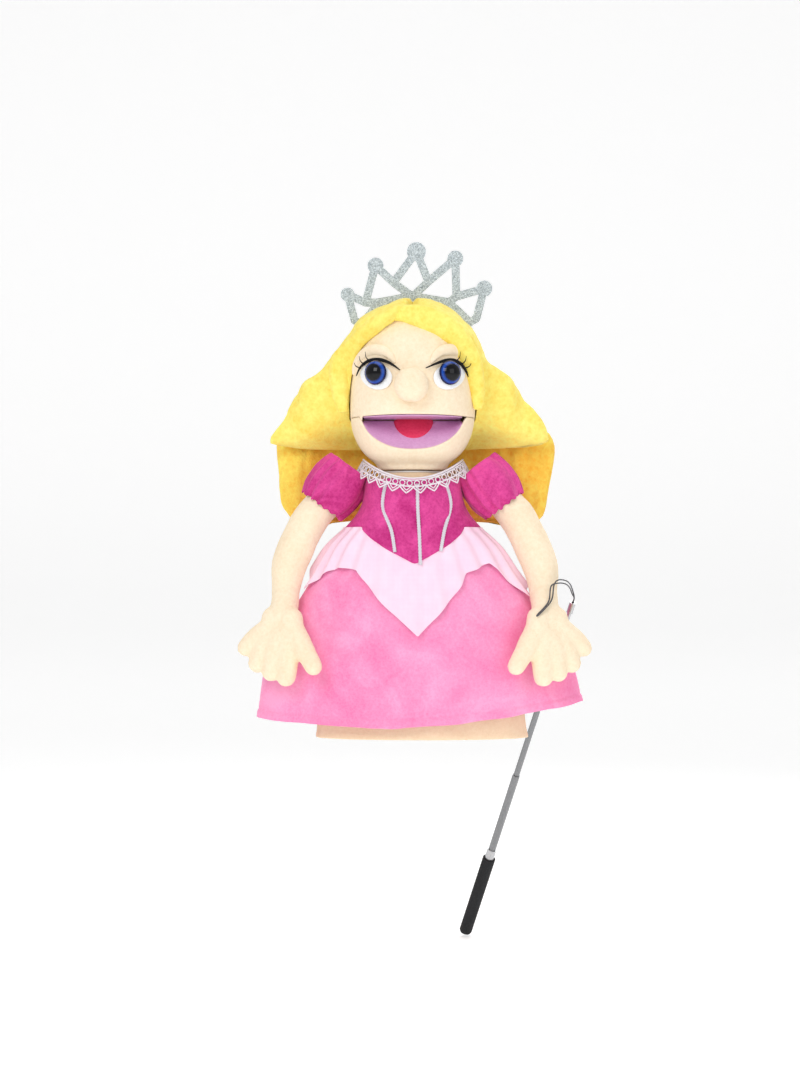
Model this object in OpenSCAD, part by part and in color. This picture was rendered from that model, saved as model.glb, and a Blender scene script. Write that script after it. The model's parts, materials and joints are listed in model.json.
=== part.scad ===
// Half-body plush hand puppet with a moving mouth and a telescopic arm rod.
// Origin: centre of the hand opening. +Z up, the face looks along -Y.

/* [Body] */
// Half width of the hand opening
opening_half_width = 107; // [85:1:135]
// Half depth of the hand opening
opening_half_depth = 42; // [36:1:55]
// Height of the waist seam above the hand opening
waist_height = 208; // [170:1:260]
// Half width of the waist
waist_half_width = 62; // [52:1:80]
// Half depth of the waist
waist_half_depth = 38; // [34:1:48]
// Height from the waist seam to the neckline
chest_height = 50; // [42:1:62]
// Thickness of the fleece and velvet layers
cloth = 2.5; // [1.5:0.1:3.5]
// Thickness of the foam inside the chest
padding = 6; // [4:0.5:8]
// Gap between sewn layers
layer_gap = 0.4; // [0.3:0.1:1]

/* [Skirt] */
// Half width of the skirt at the hem
skirt_half_width = 170; // [140:1:210]
// Half depth of the skirt at the hem
skirt_half_depth = 58; // [50:1:75]
// Height of the hem at the centre front
hem_height = 12; // [5:1:40]
// Depth of the bodice's V point below the waist
bodice_point = 36; // [20:1:50]
// Length of the peplum's petals
petal_length = 64; // [40:1:85]

/* [Head] */
// Half width of the head
head_half_width = 62.5; // [52:0.5:76]
// Half depth of the head
head_half_depth = 62; // [52:0.5:76]
// Height of the skull above the widest level
skull_rise = 94; // [78:1:113]
// Drop of the chin below the widest level
chin_drop = 69; // [60:1:83]
// Thickness of the head foam
head_foam_wall = 8; // [5:0.5:10]
// Outer radius of the neck tube
neck_radius = 32; // [28:0.5:34]

/* [Face] */
// Diameter of the plastic eyes
eye_diameter = 24; // [18:1:30]
// Radius of the stuffed nose
nose_radius = 17; // [12:0.5:20]
// Angle of the lower mouth plate at rest
jaw_angle = 37; // [35:1:38]
// Reach of the mouth plates from the hinge
mouth_reach = 50; // [46:0.5:52]
// Half width of the mouth plates
mouth_half_width = 50; // [42:0.5:52]

/* [Hair and crown] */
// Thickness of the plush hood
hair_wall = 9; // [6:0.5:11]
// Height of the crown above its band
crown_rise = 52; // [40:1:62]
// Thickness of the crown sheet
crown_thickness = 3; // [2:0.5:5]

/* [Arms] */
// Radius of the upper arm
upper_arm_radius = 17; // [14:0.5:18]
// Radius of the wrist
wrist_radius = 13; // [11:0.5:14]
// Length of a finger
finger_length = 34; // [28:1:41]

/* [Rod] */
// Radius of the inner tube
inner_tube_radius = 2.3; // [1.9:0.1:2.8]
// Wall of the telescopic tubes
tube_wall = 0.7; // [0.5:0.1:1]
// Running clearance between the tubes
tube_clearance = 0.08; // [0.04:0.01:0.1]
// Travel of each telescopic stage
tube_travel = 75; // [50:1:90]
// Radius of the foam grip
grip_radius = 6.75; // [6:0.25:9]
// Length of the foam grip
grip_length = 97; // [80:1:120]
// Diameter of the wrist clip's wire
clip_wire = 1.4; // [1:0.1:2]

/* [Hidden] */
sides = 48;
// Plan centre of the waist and the head, a little off the hand opening's centre
body_x = -4;
head_x = -4.5;
skirt_x = 5;
// Levels
neckline = waist_height + chest_height;
neck_level = neckline + 4;
chin_level = neck_level + 4;
head_level = chin_level + chin_drop;
mouth_level = chin_level + 51;
hinge_y = -8;
board = 2;
head_power = 2.4;
skirt_power = 1.7;
eye_rise = 25;
eye_offset = 36.5;
// Rod frame: its top behind the wrist, its lean back and its lean inward
rod_top = [157, 0, waist_height - 70];
rod_back = 26;
rod_in = 15.8;
// Shoulder, elbow and wrist of the arm on the -X side; the other arm mirrors it
shoulder = [78, 2, waist_height + 36];
elbow = [118, -6, waist_height - 20];
wrist = [126, -16, waist_height - 58];
palm = [128, -38, waist_height - 98];
joint_gap = 0.5;
limb_gap = 4;

// ---- Points, rings and closed skins ----
function signed_power(v, p) = sign(v) * pow(abs(v), p);
// One point of a superellipse at angle a
function super_point(a, rx, ry, p) =
  [rx * signed_power(cos(a), 2 / p), ry * signed_power(sin(a), 2 / p)];
function ring(c, z, rx, ry, p = 2, n = sides) =
  [for (i = [0 : n - 1]) let (q = super_point(360 * i / n, rx, ry, p)) [c[0] + q[0], c[1] + q[1], z]];
function reversed(v) = [for (i = [len(v) - 1 : -1 : 0]) v[i]];
function mix(a, b, t) = a + (b - a) * t;

// Closed solid through equal rings, capped at both ends or joined end to end
module loft(rings, looped = false) {
  n = len(rings[0]);
  m = len(rings);
  spans = looped ? m : m - 1;
  walls = [for (i = [0 : spans - 1]) for (j = [0 : n - 1])
    let (a = i * n, b = ((i + 1) % m) * n, k = (j + 1) % n)
    each [[a + j, b + j, b + k], [a + j, b + k, a + k]]];
  caps = looped ? [] : [[for (j = [0 : n - 1]) j], [for (j = [n - 1 : -1 : 0]) (m - 1) * n + j]];
  polyhedron([for (r = rings) each r], concat(walls, caps));
}

// Closed solid between two grids, its end faces made as strips
module sheet(front, back) {
  rows = len(front);
  cols = len(front[0]);
  n = 2 * cols;
  rings = [for (i = [0 : rows - 1]) concat(front[i], reversed(back[i]))];
  walls = [for (i = [0 : rows - 2]) for (j = [0 : n - 1])
    let (a = i * n, b = (i + 1) * n, k = (j + 1) % n)
    each [[a + j, b + j, b + k], [a + j, b + k, a + k]]];
  last = (rows - 1) * n;
  ends = [for (j = [0 : cols - 2])
    let (p = n - 1 - j, q = n - 2 - j)
    each [[j, j + 1, q], [j, q, p], [last + j, last + q, last + j + 1], [last + j, last + p, last + q]]];
  polyhedron([for (r = rings) each r], concat(walls, ends));
}

// Round bar through points, with its own radius at each point
module sweep(path, radii, n = 8, flat = 1, up = [0, -1, 0]) {
  m = len(path);
  rings = [for (i = [0 : m - 1])
    let (
      t = path[min(i + 1, m - 1)] - path[max(i - 1, 0)],
      u = cross(up, t) / norm(cross(up, t)),
      v = cross(t, u) / norm(t)
    )
    [for (j = [0 : n - 1]) path[i] + radii[i] * (u * cos(360 * j / n) + v * flat * sin(360 * j / n))]];
  loft(rings);
}

// ---- Body surface ----
// Half width and half depth of the padded body at height z
function body_wide(z) = lookup(z, [
  [0, opening_half_width], [waist_height / 2, opening_half_width - 12],
  [waist_height, waist_half_width], [waist_height + 14, waist_half_width - 12],
  [waist_height + 26, waist_half_width - 18], [neckline, waist_half_width - 20]]);
function body_deep(z) = lookup(z, [
  [0, opening_half_depth], [waist_height, waist_half_depth], [waist_height + 20, waist_half_depth + 3],
  [neckline, waist_half_depth + 4]]);
function body_ring(z, off) = ring([mix(skirt_x, body_x, min(z / waist_height, 1)), 0], z,
  body_wide(z) + off, body_deep(z) + off);
// Half width and half depth of the skirt's outer side
skirt_top = cloth + layer_gap;
function skirt_wide(z) = lookup(z, [
  [0, skirt_half_width + 4], [hem_height + 8, skirt_half_width], [waist_height * 0.3, skirt_half_width - 12],
  [waist_height * 0.43, skirt_half_width - 20], [waist_height * 0.53, skirt_half_width - 32],
  [waist_height * 0.66, skirt_half_width - 52], [waist_height * 0.79, waist_half_width + 36],
  [waist_height, waist_half_width + skirt_top + cloth]]);
function skirt_deep(z) = lookup(z, [
  [0, skirt_half_depth], [waist_height * 0.43, skirt_half_depth - 7],
  [waist_height, waist_half_depth + skirt_top + cloth]]);
function skirt_bend(z) = mix(skirt_power, 2, min(z / waist_height, 1));
function skirt_mid(z) = mix(skirt_x, body_x, min(z / waist_height, 1));
function skirt_point(a, z, off) =
  let (q = super_point(a, skirt_wide(z) + off, skirt_deep(z) + off, skirt_bend(z)))
  [skirt_mid(z) + q[0], q[1], z];
function hem_at(a) = hem_height + 14 * pow(abs(cos(a)), 2) + 8 * cos(a) + 2;

module body_sleeve() {
  levels = [0, 50, 104, 156, waist_height];
  color("bisque") loft(concat(
    [for (z = levels) body_ring(z, 0)],
    [for (z = reversed(levels)) body_ring(z, -cloth)]), true);
}

module chest_padding() {
  low = waist_height + layer_gap;
  levels = [low, low + 14, low + 26, neckline - 4];
  color("ivory") loft(concat(
    [for (z = levels) body_ring(z, 0)],
    [for (z = reversed(levels)) body_ring(z, -padding)]), true);
}

// The bodice reaches down to its V point in front and to the waist behind
bodice_clear = layer_gap + 1.3;
function bodice_low(a) = waist_height + 1 - (sin(a) < 0 ? bodice_point * max(0, 1 - 1.35 * abs(cos(a))) : 0);
function neck_edge(a) = neckline + (sin(a) > 0 ? -6 * sin(a) : 0);
function torso_point(a, z, off) =
  let (low = z < waist_height,
       over = skirt_top + cloth * (z < waist_height + 1 ? 1 : 0.3) + off,
       rx = low ? skirt_wide(z) + off : body_wide(z) + over,
       ry = low ? skirt_deep(z) + off : body_deep(z) + over,
       q = super_point(a, rx, ry, low ? skirt_bend(z) : 2))
  [(low ? skirt_mid(z) : body_x) + q[0], q[1], z];
function bodice_ring(t, off) = [for (i = [0 : sides - 1])
  let (a = 360 * i / sides) torso_point(a, mix(bodice_low(a), neck_edge(a), t), off)];
module bodice() {
  steps = [0, 0.12, 0.24, 0.36, 0.48, 0.6, 0.8, 1];
  color("mediumvioletred") loft(concat(
    [for (t = steps) bodice_ring(t, bodice_clear + cloth)],
    [for (t = reversed(steps)) bodice_ring(t, bodice_clear)]), true);
}

module skirt() {
  steps = [0, 0.15, 0.35, 0.55, 0.78, 1];
  top = waist_height - layer_gap;
  edge = 9;
  outer = [for (t = steps) [for (i = [0 : sides - 1])
    let (a = 360 * i / sides) skirt_point(a, mix(hem_at(a) + edge, top, t), 0)]];
  inner = [for (t = reversed(steps)) [for (i = [0 : sides - 1])
    let (a = 360 * i / sides) skirt_point(a, mix(hem_at(a) + edge, top, t), -cloth)]];
  color("hotpink") loft(concat(outer, inner), true);
}

module skirt_hem() {
  edge = 9 - layer_gap;
  function band(rise, off) = [for (i = [0 : sides - 1])
    let (a = 360 * i / sides) skirt_point(a, hem_at(a) + rise, off)];
  color("palevioletred") loft([band(0, 0.5), band(edge, 0.5), band(edge, -cloth), band(0, -cloth)], true);
}

// Three pointed petals that hang from the bodice's lower edge
module peplum() {
  count = sides / 2;
  function petal(a) = petal_length * (0.45 + 0.55 * abs(cos((a - 180) * 3)));
  function drop(a, t) = bodice_low(a) - layer_gap - petal(a) * t;
  function side(t, off) = [for (i = [0 : count])
    let (a = 180 + 180 * i / count) skirt_point(a, drop(a, t), off)];
  steps = [0, 0.35, 0.7, 1];
  color("pink") sheet(
    [for (t = reversed(steps)) side(t, layer_gap + cloth)],
    [for (t = reversed(steps)) side(t, layer_gap)]);
}

module lace_collar() {
  inner_rx = waist_half_width - 12;
  inner_ry = waist_half_depth + 1;
  function edge(t, off) = [for (i = [0 : 63])
    let (
      a = 360 * i / 64,
      lift = 17 * pow(abs(cos(a)), 2),
      spread = 7 * t + (i % 4 == 0 ? 2 * t : 0)
    )
    [body_x + (inner_rx + spread) * cos(a),
     (inner_ry + 9 + spread) * sin(a),
     neckline + 3 - 11 * t + lift + off]];
  color("white") loft([edge(1, 0), edge(1, 1.2), edge(0, 1.2), edge(0, 0)], true);
}

module braid(x_low, x_mid, x_top) {
  levels = [waist_height - 26, waist_height - 3, waist_height + 4, waist_height + 28, neckline - 7];
  spots = [x_low, mix(x_low, x_mid, 0.7), x_mid, mix(x_mid, x_top, 0.5), x_top];
  path = [for (i = [0 : 4])
    let (z = levels[i], off = bodice_clear + cloth + 1.1,
         low = z < waist_height,
         ry = low ? skirt_deep(z) + off : body_deep(z) + skirt_top + cloth + off,
         rx = low ? skirt_wide(z) + off : body_wide(z) + skirt_top + cloth + off,
         u = (spots[i] - body_x) / rx)
    [spots[i], -ry * sqrt(1 - u * u) - 0.6, z]];
  color("silver") sweep(path, [for (i = path) 1.9], 8, 0.4);
}
module braid_left() braid(18, 26, 24);
module braid_centre() braid(0, 0, 0);
module braid_right() braid(-18, -28, -26);

// A short puffed tube whose axis runs down and out along the shoulder
module puff(side) {
  end_radius = upper_arm_radius + 3.8;
  bulge = 8;
  tube_length = 50;
  levels = [0, 0.15, 0.35, 0.6, 0.85, 1];
  function puffed(t, off) = ring([0, 0], -tube_length * (1 - t), end_radius + bulge * sin(180 * t) + off,
    end_radius + bulge * sin(180 * t) + off);
  translate([body_x + side * (shoulder[0] - 16), shoulder[1], shoulder[2] + 27]) rotate([0, side * -36, 0])
    color("mediumvioletred") loft(concat(
      [for (t = levels) puffed(t, cloth)],
      [for (t = reversed(levels)) puffed(t, 0)]), true);
}
module puff_sleeve_left() puff(1);
module puff_sleeve_right() puff(-1);

module closure_tape() {
  steps = [waist_height + 6, waist_height + 22, neckline - 10];
  function row(z, off) = [for (x = [-6, 6])
    [body_x + x, body_deep(z) + skirt_top + cloth + bodice_clear + 1.6 + off, z]];
  color("white") sheet(
    [for (z = steps) reversed(row(z, 1.2))],
    [for (z = steps) reversed(row(z, 0))]);
}

// ---- Neck ----
module neck_tube() {
  color("bisque") translate([head_x, 0, neck_level - 12]) difference() {
    cylinder(r = neck_radius, h = 13.5, $fn = 64);
    translate([0, 0, -1]) cylinder(r = neck_radius - cloth, h = 16, $fn = 64);
  }
}

module neck_cuff() {
  color("white") translate([head_x, 0, neck_level + 1.8]) difference() {
    cylinder(r = neck_radius, h = 1.4, $fn = 64);
    translate([0, 0, -1]) cylinder(r = neck_radius - 2 * cloth, h = 4, $fn = 64);
  }
}

// ---- Head surface ----
function skull(z, off) = let (
    upper = z >= head_level,
    power = upper ? 2.3 : 2.6,
    u = abs(z - head_level) / ((upper ? skull_rise : chin_drop) + off)
  ) pow(max(0, 1 - pow(min(u, 1), power)), 1 / power);
function head_point(a, z, off) =
  let (
    k = skull(z, off),
    q = super_point(a, (head_half_width + off) * k, (head_half_depth + off) * k, head_power)
  )
  [head_x + q[0], q[1], z];
function head_ring(z, off) = [for (i = [0 : sides - 1]) head_point(360 * i / sides, z, off)];
function face_y(x, z, off) = let (
    k = skull(z, off),
    u = abs(x - head_x) / ((head_half_width + off) * k)
  ) -(head_half_depth + off) * k * pow(max(0.05, 1 - pow(min(u, 1), head_power)), 1 / head_power);
function face_point(x, z, off) = [x, face_y(x, z, off), z];
dome_steps = [0, 0.3, 0.5, 0.68, 0.82, 0.92, 0.975, 0.997];
module dome(low, off, wall) {
  function levels(o) = concat([low],
    [for (u = dome_steps) if (head_level + u * 10 > low) head_level + (skull_rise + o) * u]);
  loft(concat(
    [for (z = reversed(levels(off - wall))) head_ring(z, off - wall)],
    [for (z = levels(off)) head_ring(z, off)]));
}

module head_cover() color("bisque") dome(mouth_level + 1.5, 0, cloth);
module head_foam() color("ivory") dome(mouth_level + 6, -cloth - layer_gap, head_foam_wall);

// Skin of the back of the head below the mouth, down to the neck
module nape_cover() {
  top = mouth_level + 1;
  function back_point(a, z, off) = let (
      k = skull(z, 0),
      rx = max(head_half_width * k, neck_radius + 4) + off,
      ry = max(head_half_depth * k, neck_radius + 4) + off,
      q = super_point(a, rx, ry, 2.2)
    ) [head_x + q[0], q[1], z];
  levels = [for (t = [0, 0.08, 0.2, 0.4, 0.7, 1]) mix(chin_level, top, t)];
  color("bisque") sheet(
    [for (z = levels) [for (a = [4 : 8.6 : 176]) back_point(a, z, 0)]],
    [for (z = levels) [for (a = [4 : 8.6 : 176]) back_point(a, z, -cloth)]]);
}

module nose() {
  color("bisque") translate([head_x - 1.5, -head_half_depth - joint_gap, head_level + 12]) rotate([90, 0, 0])
    rotate_extrude($fn = 64) intersection() {
      translate([0, nose_radius * 0.25]) circle(r = nose_radius);
      square([nose_radius + 1, 2 * nose_radius]);
    }
}

// ---- Eyes ----
eye_turn = 26;
felt = 1;
module at_eye(side, off) {
  x = head_x + side * eye_offset;
  translate(face_point(x, head_level + eye_rise, off)) rotate([0, 0, side * eye_turn]) rotate([90, 0, 0])
    children();
}
module eye(side) {
  r = eye_diameter / 2;
  h = 0.62 * r;
  dome_r = (r * r + h * h) / (2 * h);
  color("royalblue") at_eye(side, felt + 3) union() {
    rotate_extrude($fn = 64) intersection() {
      translate([0, h - dome_r]) circle(r = dome_r, $fn = 96);
      square([r + 1, h + 1]);
    }
    translate([0, 0, -13]) cylinder(r = 2.4, h = 13.5, $fn = 32);
  }
}
module eye_left() eye(1);
module eye_right() eye(-1);

module eye_washer(side) {
  color("white") at_eye(side, felt + 3) translate([0, 0, -11.5]) difference() {
    cylinder(r = 8, h = 1.5, $fn = 48);
    translate([0, 0, -1]) cylinder(r = 2.45, h = 4, $fn = 32);
  }
}
module eye_washer_left() eye_washer(1);
module eye_washer_right() eye_washer(-1);

module eye_white(side) {
  cx = head_x + side * (eye_offset - 1);
  cz = head_level + eye_rise - 2.5;
  function patch(k, off) = [for (i = [0 : 23])
    let (a = 360 * i / 24) face_point(cx + 16 * k * cos(a), cz + 13.5 * k * sin(a), off + 0.5)];
  color("white") loft([patch(0.1, 0.3), patch(1, 0.3), patch(1, 0.3 + felt), patch(0.1, 0.3 + felt)]);
}
module eye_white_left() eye_white(1);
module eye_white_right() eye_white(-1);

module eyelid(side) {
  lid = 3;
  route = [[21, 0], [15, 15], [7, 22], [-3, 23.5], [-11, 20], [-19, 11]];
  path = [for (q = route)
    face_point(head_x + side * (eye_offset + q[0]), head_level + eye_rise + q[1], lid + 0.5)];
  color("bisque") sweep(path, [lid * 0.5, lid, lid, lid, lid, lid * 0.5]);
}
module eyelid_left() eyelid(1);
module eyelid_right() eyelid(-1);

module lash(side) {
  route = [[19, -2], [10, 11], [0, 14.5], [-10, 11.5], [-17, 5.5]];
  tips = [[18, 16], [11, 20], [3, 22]];
  thread = 0.9;
  function spot(q, off) =
    face_point(head_x + side * (eye_offset + q[0]), head_level + eye_rise + q[1], off);
  color("black") union() {
    for (i = [0 : 3]) hull() {
      translate(spot(route[i], 3.2)) sphere(r = thread, $fn = 8);
      translate(spot(route[i + 1], 3.2)) sphere(r = thread, $fn = 8);
    }
    for (i = [0 : 2]) hull() {
      translate(spot(route[i], 3.2)) sphere(r = thread, $fn = 8);
      translate(spot(tips[i], 8)) sphere(r = thread * 0.5, $fn = 8);
    }
  }
}
module lash_left() lash(1);
module lash_right() lash(-1);

// ---- Mouth ----
// Half an ellipse behind the lips, its straight side on the hinge line
module plate(half_width, reach, thick, start = 0) {
  linear_extrude(thick) polygon([for (i = [0 : 24])
    let (a = 180 + 180 * i / 24) [half_width * cos(a), reach * sin(a) - start]]);
}
module at_hinge() translate([head_x, hinge_y, mouth_level]) children();
module palate_lining()
  color("plum") at_hinge() translate([0, 0, 1.5]) plate(mouth_half_width, mouth_reach, 1.5);
module palate_board()
  color("tan") at_hinge() translate([0, 0, 3.3]) plate(mouth_half_width, mouth_reach - 1.5, board);

module at_jaw() at_hinge() rotate([jaw_angle, 0, 0]) children();
module jaw_lining() color("plum") at_jaw() translate([0, 0, -2]) plate(mouth_half_width, mouth_reach, 1.5);
module jaw_board()
  color("tan") at_jaw() translate([0, 0, -2.3 - board])
    plate(mouth_half_width - 2, mouth_reach - 1.5, board, 1);
module tongue() {
  color("crimson") at_jaw() translate([1, -3, -0.3]) plate(20, 26, 1.6);
}

// Bowl of the jaw: rings that turn from the sloped lip down to the chin
jaw_rings = [[0, 57, 56, 37], [14, 59, 55, 31], [32, 50, 44, 18], [42, 39, 33, 10], [48, 25, 21, 3],
  [50.5, 10, 9, 0]];
function jaw_row(r, off) = [for (i = [0 : 20])
  let (a = 180 + 9 * i, w = r[1] - off, f = r[2] - off)
  [head_x + w * cos(a), hinge_y - 1 + f * sin(a) * cos(r[3]), mouth_level - 0.4 - r[0] * (50.5 - off) / 50.5
    + f * sin(a) * sin(r[3])]];
module bowl(from, wall) {
  color("bisque") sheet(
    [for (r = reversed(jaw_rings)) jaw_row(r, from)],
    [for (r = reversed(jaw_rings)) jaw_row(r, from + wall)]);
}
module jaw_cover() bowl(0, cloth);
module jaw_foam() {
  wall = 5;
  rings = [for (i = [0 : 3]) jaw_rings[i]];
  function low(r) = [r[0] * 0.76 + 7, r[1] - 8, r[2] - 6, r[3]];
  color("ivory") sheet(
    [for (r = reversed(rings)) jaw_row(low(r), 0.4)],
    [for (r = reversed(rings)) jaw_row(low(r), 0.4 + wall)]);
}

// ---- Hair ----
hair_gap = 2.2;
hood_open = [[0, 86], [39, 84], [56, 58], [70, 26], [82, 5], [110, 4]];
module hair_cap() {
  levels = concat([(mouth_level + 1.5 - head_level) / skull_rise],
    [0, 0.15, 0.3, 0.4, 0.5, 0.59, 0.68, 0.75, 0.82, 0.87, 0.92, 0.975, 0.997]);
  function row(u, off) = let (z = head_level + (skull_rise + off) * u, w = lookup(z - head_level, hood_open))
    [for (i = [0 : sides]) head_point(270 + w + (360 - 2 * w) * i / sides, z, off)];
  color("gold") sheet(
    [for (u = levels) row(u, hair_gap + hair_wall)],
    [for (u = levels) row(u, hair_gap)]);
}

module hair_fringe(route, radii) {
  path = [for (i = [0 : len(route) - 1])
    face_point(route[i][0], head_level + route[i][1], radii[i] + hair_gap + 1)];
  color("gold") sweep(path, radii, 12);
}
module hair_fringe_right() hair_fringe([[-34, 80], [-48, 72], [-60, 59], [-68, 42]], [4, 6, 7, 5]);
module hair_fringe_left()
  hair_fringe([[-22, 83], [4, 82], [28, 75], [44, 64], [57, 46]], [5, 7, 8, 8, 5]);

// A lobe of plush through oval sections: [height, centre out, half width, centre back, half depth]
module hair_lobe(side, sections) {
  color("gold") loft([for (s = sections)
    ring([head_x + side * s[1], s[3]], head_level + s[0], s[2], s[4], 2, 24)]);
}
side_sections = [[-29, 116, 27, 26, 24], [-17, 112, 32, 22, 28], [5, 101, 24, 18, 30], [35, 88, 14, 14, 26],
  [58, 78, 8, 10, 16]];
wing_sections = [[-121, 124, 16, 46, 12], [-100, 116, 30, 44, 15], [-80, 110, 38, 44, 15],
  [-50, 110, 38, 46, 14],
  [-31, 110, 34, 46, 12]];
module hair_side_left() hair_lobe(1, side_sections);
module hair_side_right() hair_lobe(-1, side_sections);
module hair_wing_left() hair_lobe(1, wing_sections);
module hair_wing_right() hair_lobe(-1, wing_sections);
module hair_back()
  hair_lobe(0, [[-110, 0, 56, 66, 9], [-80, 0, 62, 70, 10], [-45, 0, 64, 76, 9], [-19, 0, 62, 80, 8]]);

// ---- Crown ----
// Tips: [across, height above the band, ball radius]
crown_tips = [[-65, 12, 7], [-37, 41, 8], [4, 55, 9.5], [43, 48, 8], [72, 18, 8]];
crown_valleys = [[-58, -14], [-47, 4], [-19, 24], [16, 25], [44, 10], [64, -12]];
strut_width = 8;
band_points = [[-50, -18], [-33, 4], [0, 10], [36, 4], [57, -16]];
module strut(p, q, wide) hull() {
  translate(p) circle(d = wide, $fn = 20);
  translate(q) circle(d = wide, $fn = 20);
}
module crown() {
  grow = crown_rise / 52;
  function up(q) = [q[0], q[1] * grow];
  band_level = head_level + skull_rise + 2;
  color("silver") translate([head_x, 6, band_level]) rotate([90, 0, 0])
    linear_extrude(crown_thickness) union() {
    for (t = crown_tips) translate(up(t)) circle(r = t[2], $fn = 48);
    for (i = [0 : 4]) {
      strut(up(crown_valleys[i]), up(crown_tips[i]), strut_width);
      strut(up(crown_tips[i]), up(crown_valleys[i + 1]), strut_width);
    }
    for (i = [0 : 3]) strut(up(band_points[i]), up(band_points[i + 1]), strut_width + 1);
    for (pair = [[0, 0], [1, 1], [2, 2], [3, 2], [4, 3], [5, 4]])
      strut(up(crown_valleys[pair[0]]), up(band_points[pair[1]]), strut_width);
  }
}

// ---- Arms ----
function mirrored(p, side) = [body_x + side * p[0] + (side > 0 ? 3 : 0), p[1], p[2]];
// Tapered limb with ball ends that stop short of the joint centres
module limb(p, q, r_p, r_q) {
  u = (q - p) / norm(q - p);
  a = p + u * limb_gap;
  b = q - u * limb_gap;
  angles = [12, 30, 50, 70, 90];
  sweep(concat(
      [for (t = angles) a + u * r_p * (1 - cos(t))],
      [for (t = reversed(angles)) b - u * r_q * (1 - cos(t))]),
    concat([for (t = angles) r_p * sin(t)], [for (t = reversed(angles)) r_q * sin(t)]), 20);
}
module upper_arm(side)
  color("bisque")
    limb(mirrored(shoulder, side), mirrored(elbow, side), upper_arm_radius, upper_arm_radius - 1);
module forearm(side)
  color("bisque") limb(mirrored(elbow, side), mirrored(wrist, side), upper_arm_radius - 1, wrist_radius);
module upper_arm_left() upper_arm(1);
module upper_arm_right() upper_arm(-1);
module forearm_left() forearm(1);
module forearm_right() forearm(-1);

// Palm, four fingers and a thumb that follow the skirt's front
module hand(side) {
  thick = 12;
  k = finger_length / 34;
  at = mirrored(palm, side);
  function tip(q) = [at[0] + side * q[0] * k, at[1] + q[1] * k, at[2] + q[2] * k];
  module finger(q, r) hull() {
    translate(tip(q * 0.3)) sphere(r = thick * 0.8, $fn = 16);
    translate(tip(q)) sphere(r = r, $fn = 16);
  }
  color("bisque") union() {
    hull() {
      w = mirrored(wrist, side);
      d = at - w;
      translate(w + d * (wrist_radius + 1) / norm(d)) sphere(r = wrist_radius - 2, $fn = 20);
      translate(at + [side * 14, 8, -6]) sphere(r = thick, $fn = 20);
      translate(at + [side * -12, -8, -8]) sphere(r = thick, $fn = 20);
    }
    finger([35, 8, -18], 9);
    finger([22, 0, -34], 9.5);
    finger([8, -7, -44], 9.5);
    finger([-8, -14, -47], 9.5);
    finger([-33, -26, -38], 9);
  }
}
module hand_left() hand(1);
module hand_right() hand(-1);

// ---- Rod ----
// Distances down the rod from the clip: crimp, tube ends, ferrule and grip
crimp_start = 4;
crimp_length = 12;
mid_start = crimp_start + crimp_length + 21 + tube_travel;
stage_lap = 32;
outer_start = mid_start + 28 + tube_travel;
ferrule_start = outer_start + 21 + tube_travel;
ferrule_length = 12;
mid_bore = inner_tube_radius + tube_clearance;
mid_radius = mid_bore + tube_wall;
outer_bore = mid_radius + tube_clearance;
outer_radius = outer_bore + tube_wall;
grip_start = ferrule_start + ferrule_length;
module on_rod(s) translate(rod_top) rotate([rod_back, rod_in, 0]) translate([0, 0, -s]) children();
module pipe(r, bore, h) difference() {
  cylinder(r = r, h = h, $fn = 48);
  translate([0, 0, -1]) cylinder(r = bore, h = h + 2, $fn = 48);
}

module tip_crimp() color("silver") on_rod(crimp_start + crimp_length)
  pipe(inner_tube_radius + 1, inner_tube_radius, crimp_length);
module tube_inner() color("silver") on_rod(mid_start + stage_lap)
  pipe(inner_tube_radius, inner_tube_radius - 0.6, mid_start + stage_lap - crimp_start);
module tube_mid() color("lightgray") on_rod(outer_start + stage_lap)
  pipe(mid_radius, mid_bore, outer_start + stage_lap - mid_start);
module tube_outer() color("gray") on_rod(grip_start + grip_length - 6)
  pipe(outer_radius, outer_bore, grip_start + grip_length - 6 - outer_start);
module ferrule() color("silver") on_rod(grip_start) pipe(outer_radius + 1, outer_radius, ferrule_length);
module grip() color("black") on_rod(grip_start + grip_length) difference() {
  cylinder(r = grip_radius, h = grip_length, $fn = 64);
  translate([0, 0, -1]) cylinder(r = outer_radius, h = grip_length + 2, $fn = 48);
}
module grip_cap() color("black") on_rod(grip_start + grip_length) translate([0, 0, -2])
  cylinder(r = grip_radius - 1, h = 1.8, $fn = 64);

// Hairpin of spring wire: out along one leg, round the tip, back along the other
module wrist_clip() {
  w = wrist_radius + clip_wire;
  c = mirrored(wrist, 1);
  spread = 1.7;
  route = [[c[0] - 6, palm[1] - 12, c[2] - 25], [c[0] + 5, c[1] - w - 5, c[2] - 12],
    [c[0] + 8, c[1] - w - 1, c[2] + 3], [c[0] + 15, c[1] - w + 3, c[2] + 5], [c[0] + 21, c[1] - 6, c[2] + 4],
    [c[0] + 24, c[1] + 8, c[2] - 2], rod_top];
  n = len(route) - 1;
  function leg(i, s) = route[i] + spread * s * (i < 3 ? [0.9, 0, 0.4] : [0, 0, 1]);
  path = concat([for (i = [n - 1 : -1 : 0]) leg(i, 1)], [route[0] + [-2.4, 0, -1.2]],
    [for (i = [0 : n - 1]) leg(i, -1)]);
  color("silver") sweep(path, [for (i = path) clip_wire / 2], 8, 1, [0.31, -0.9, 0.29]);
}

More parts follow.
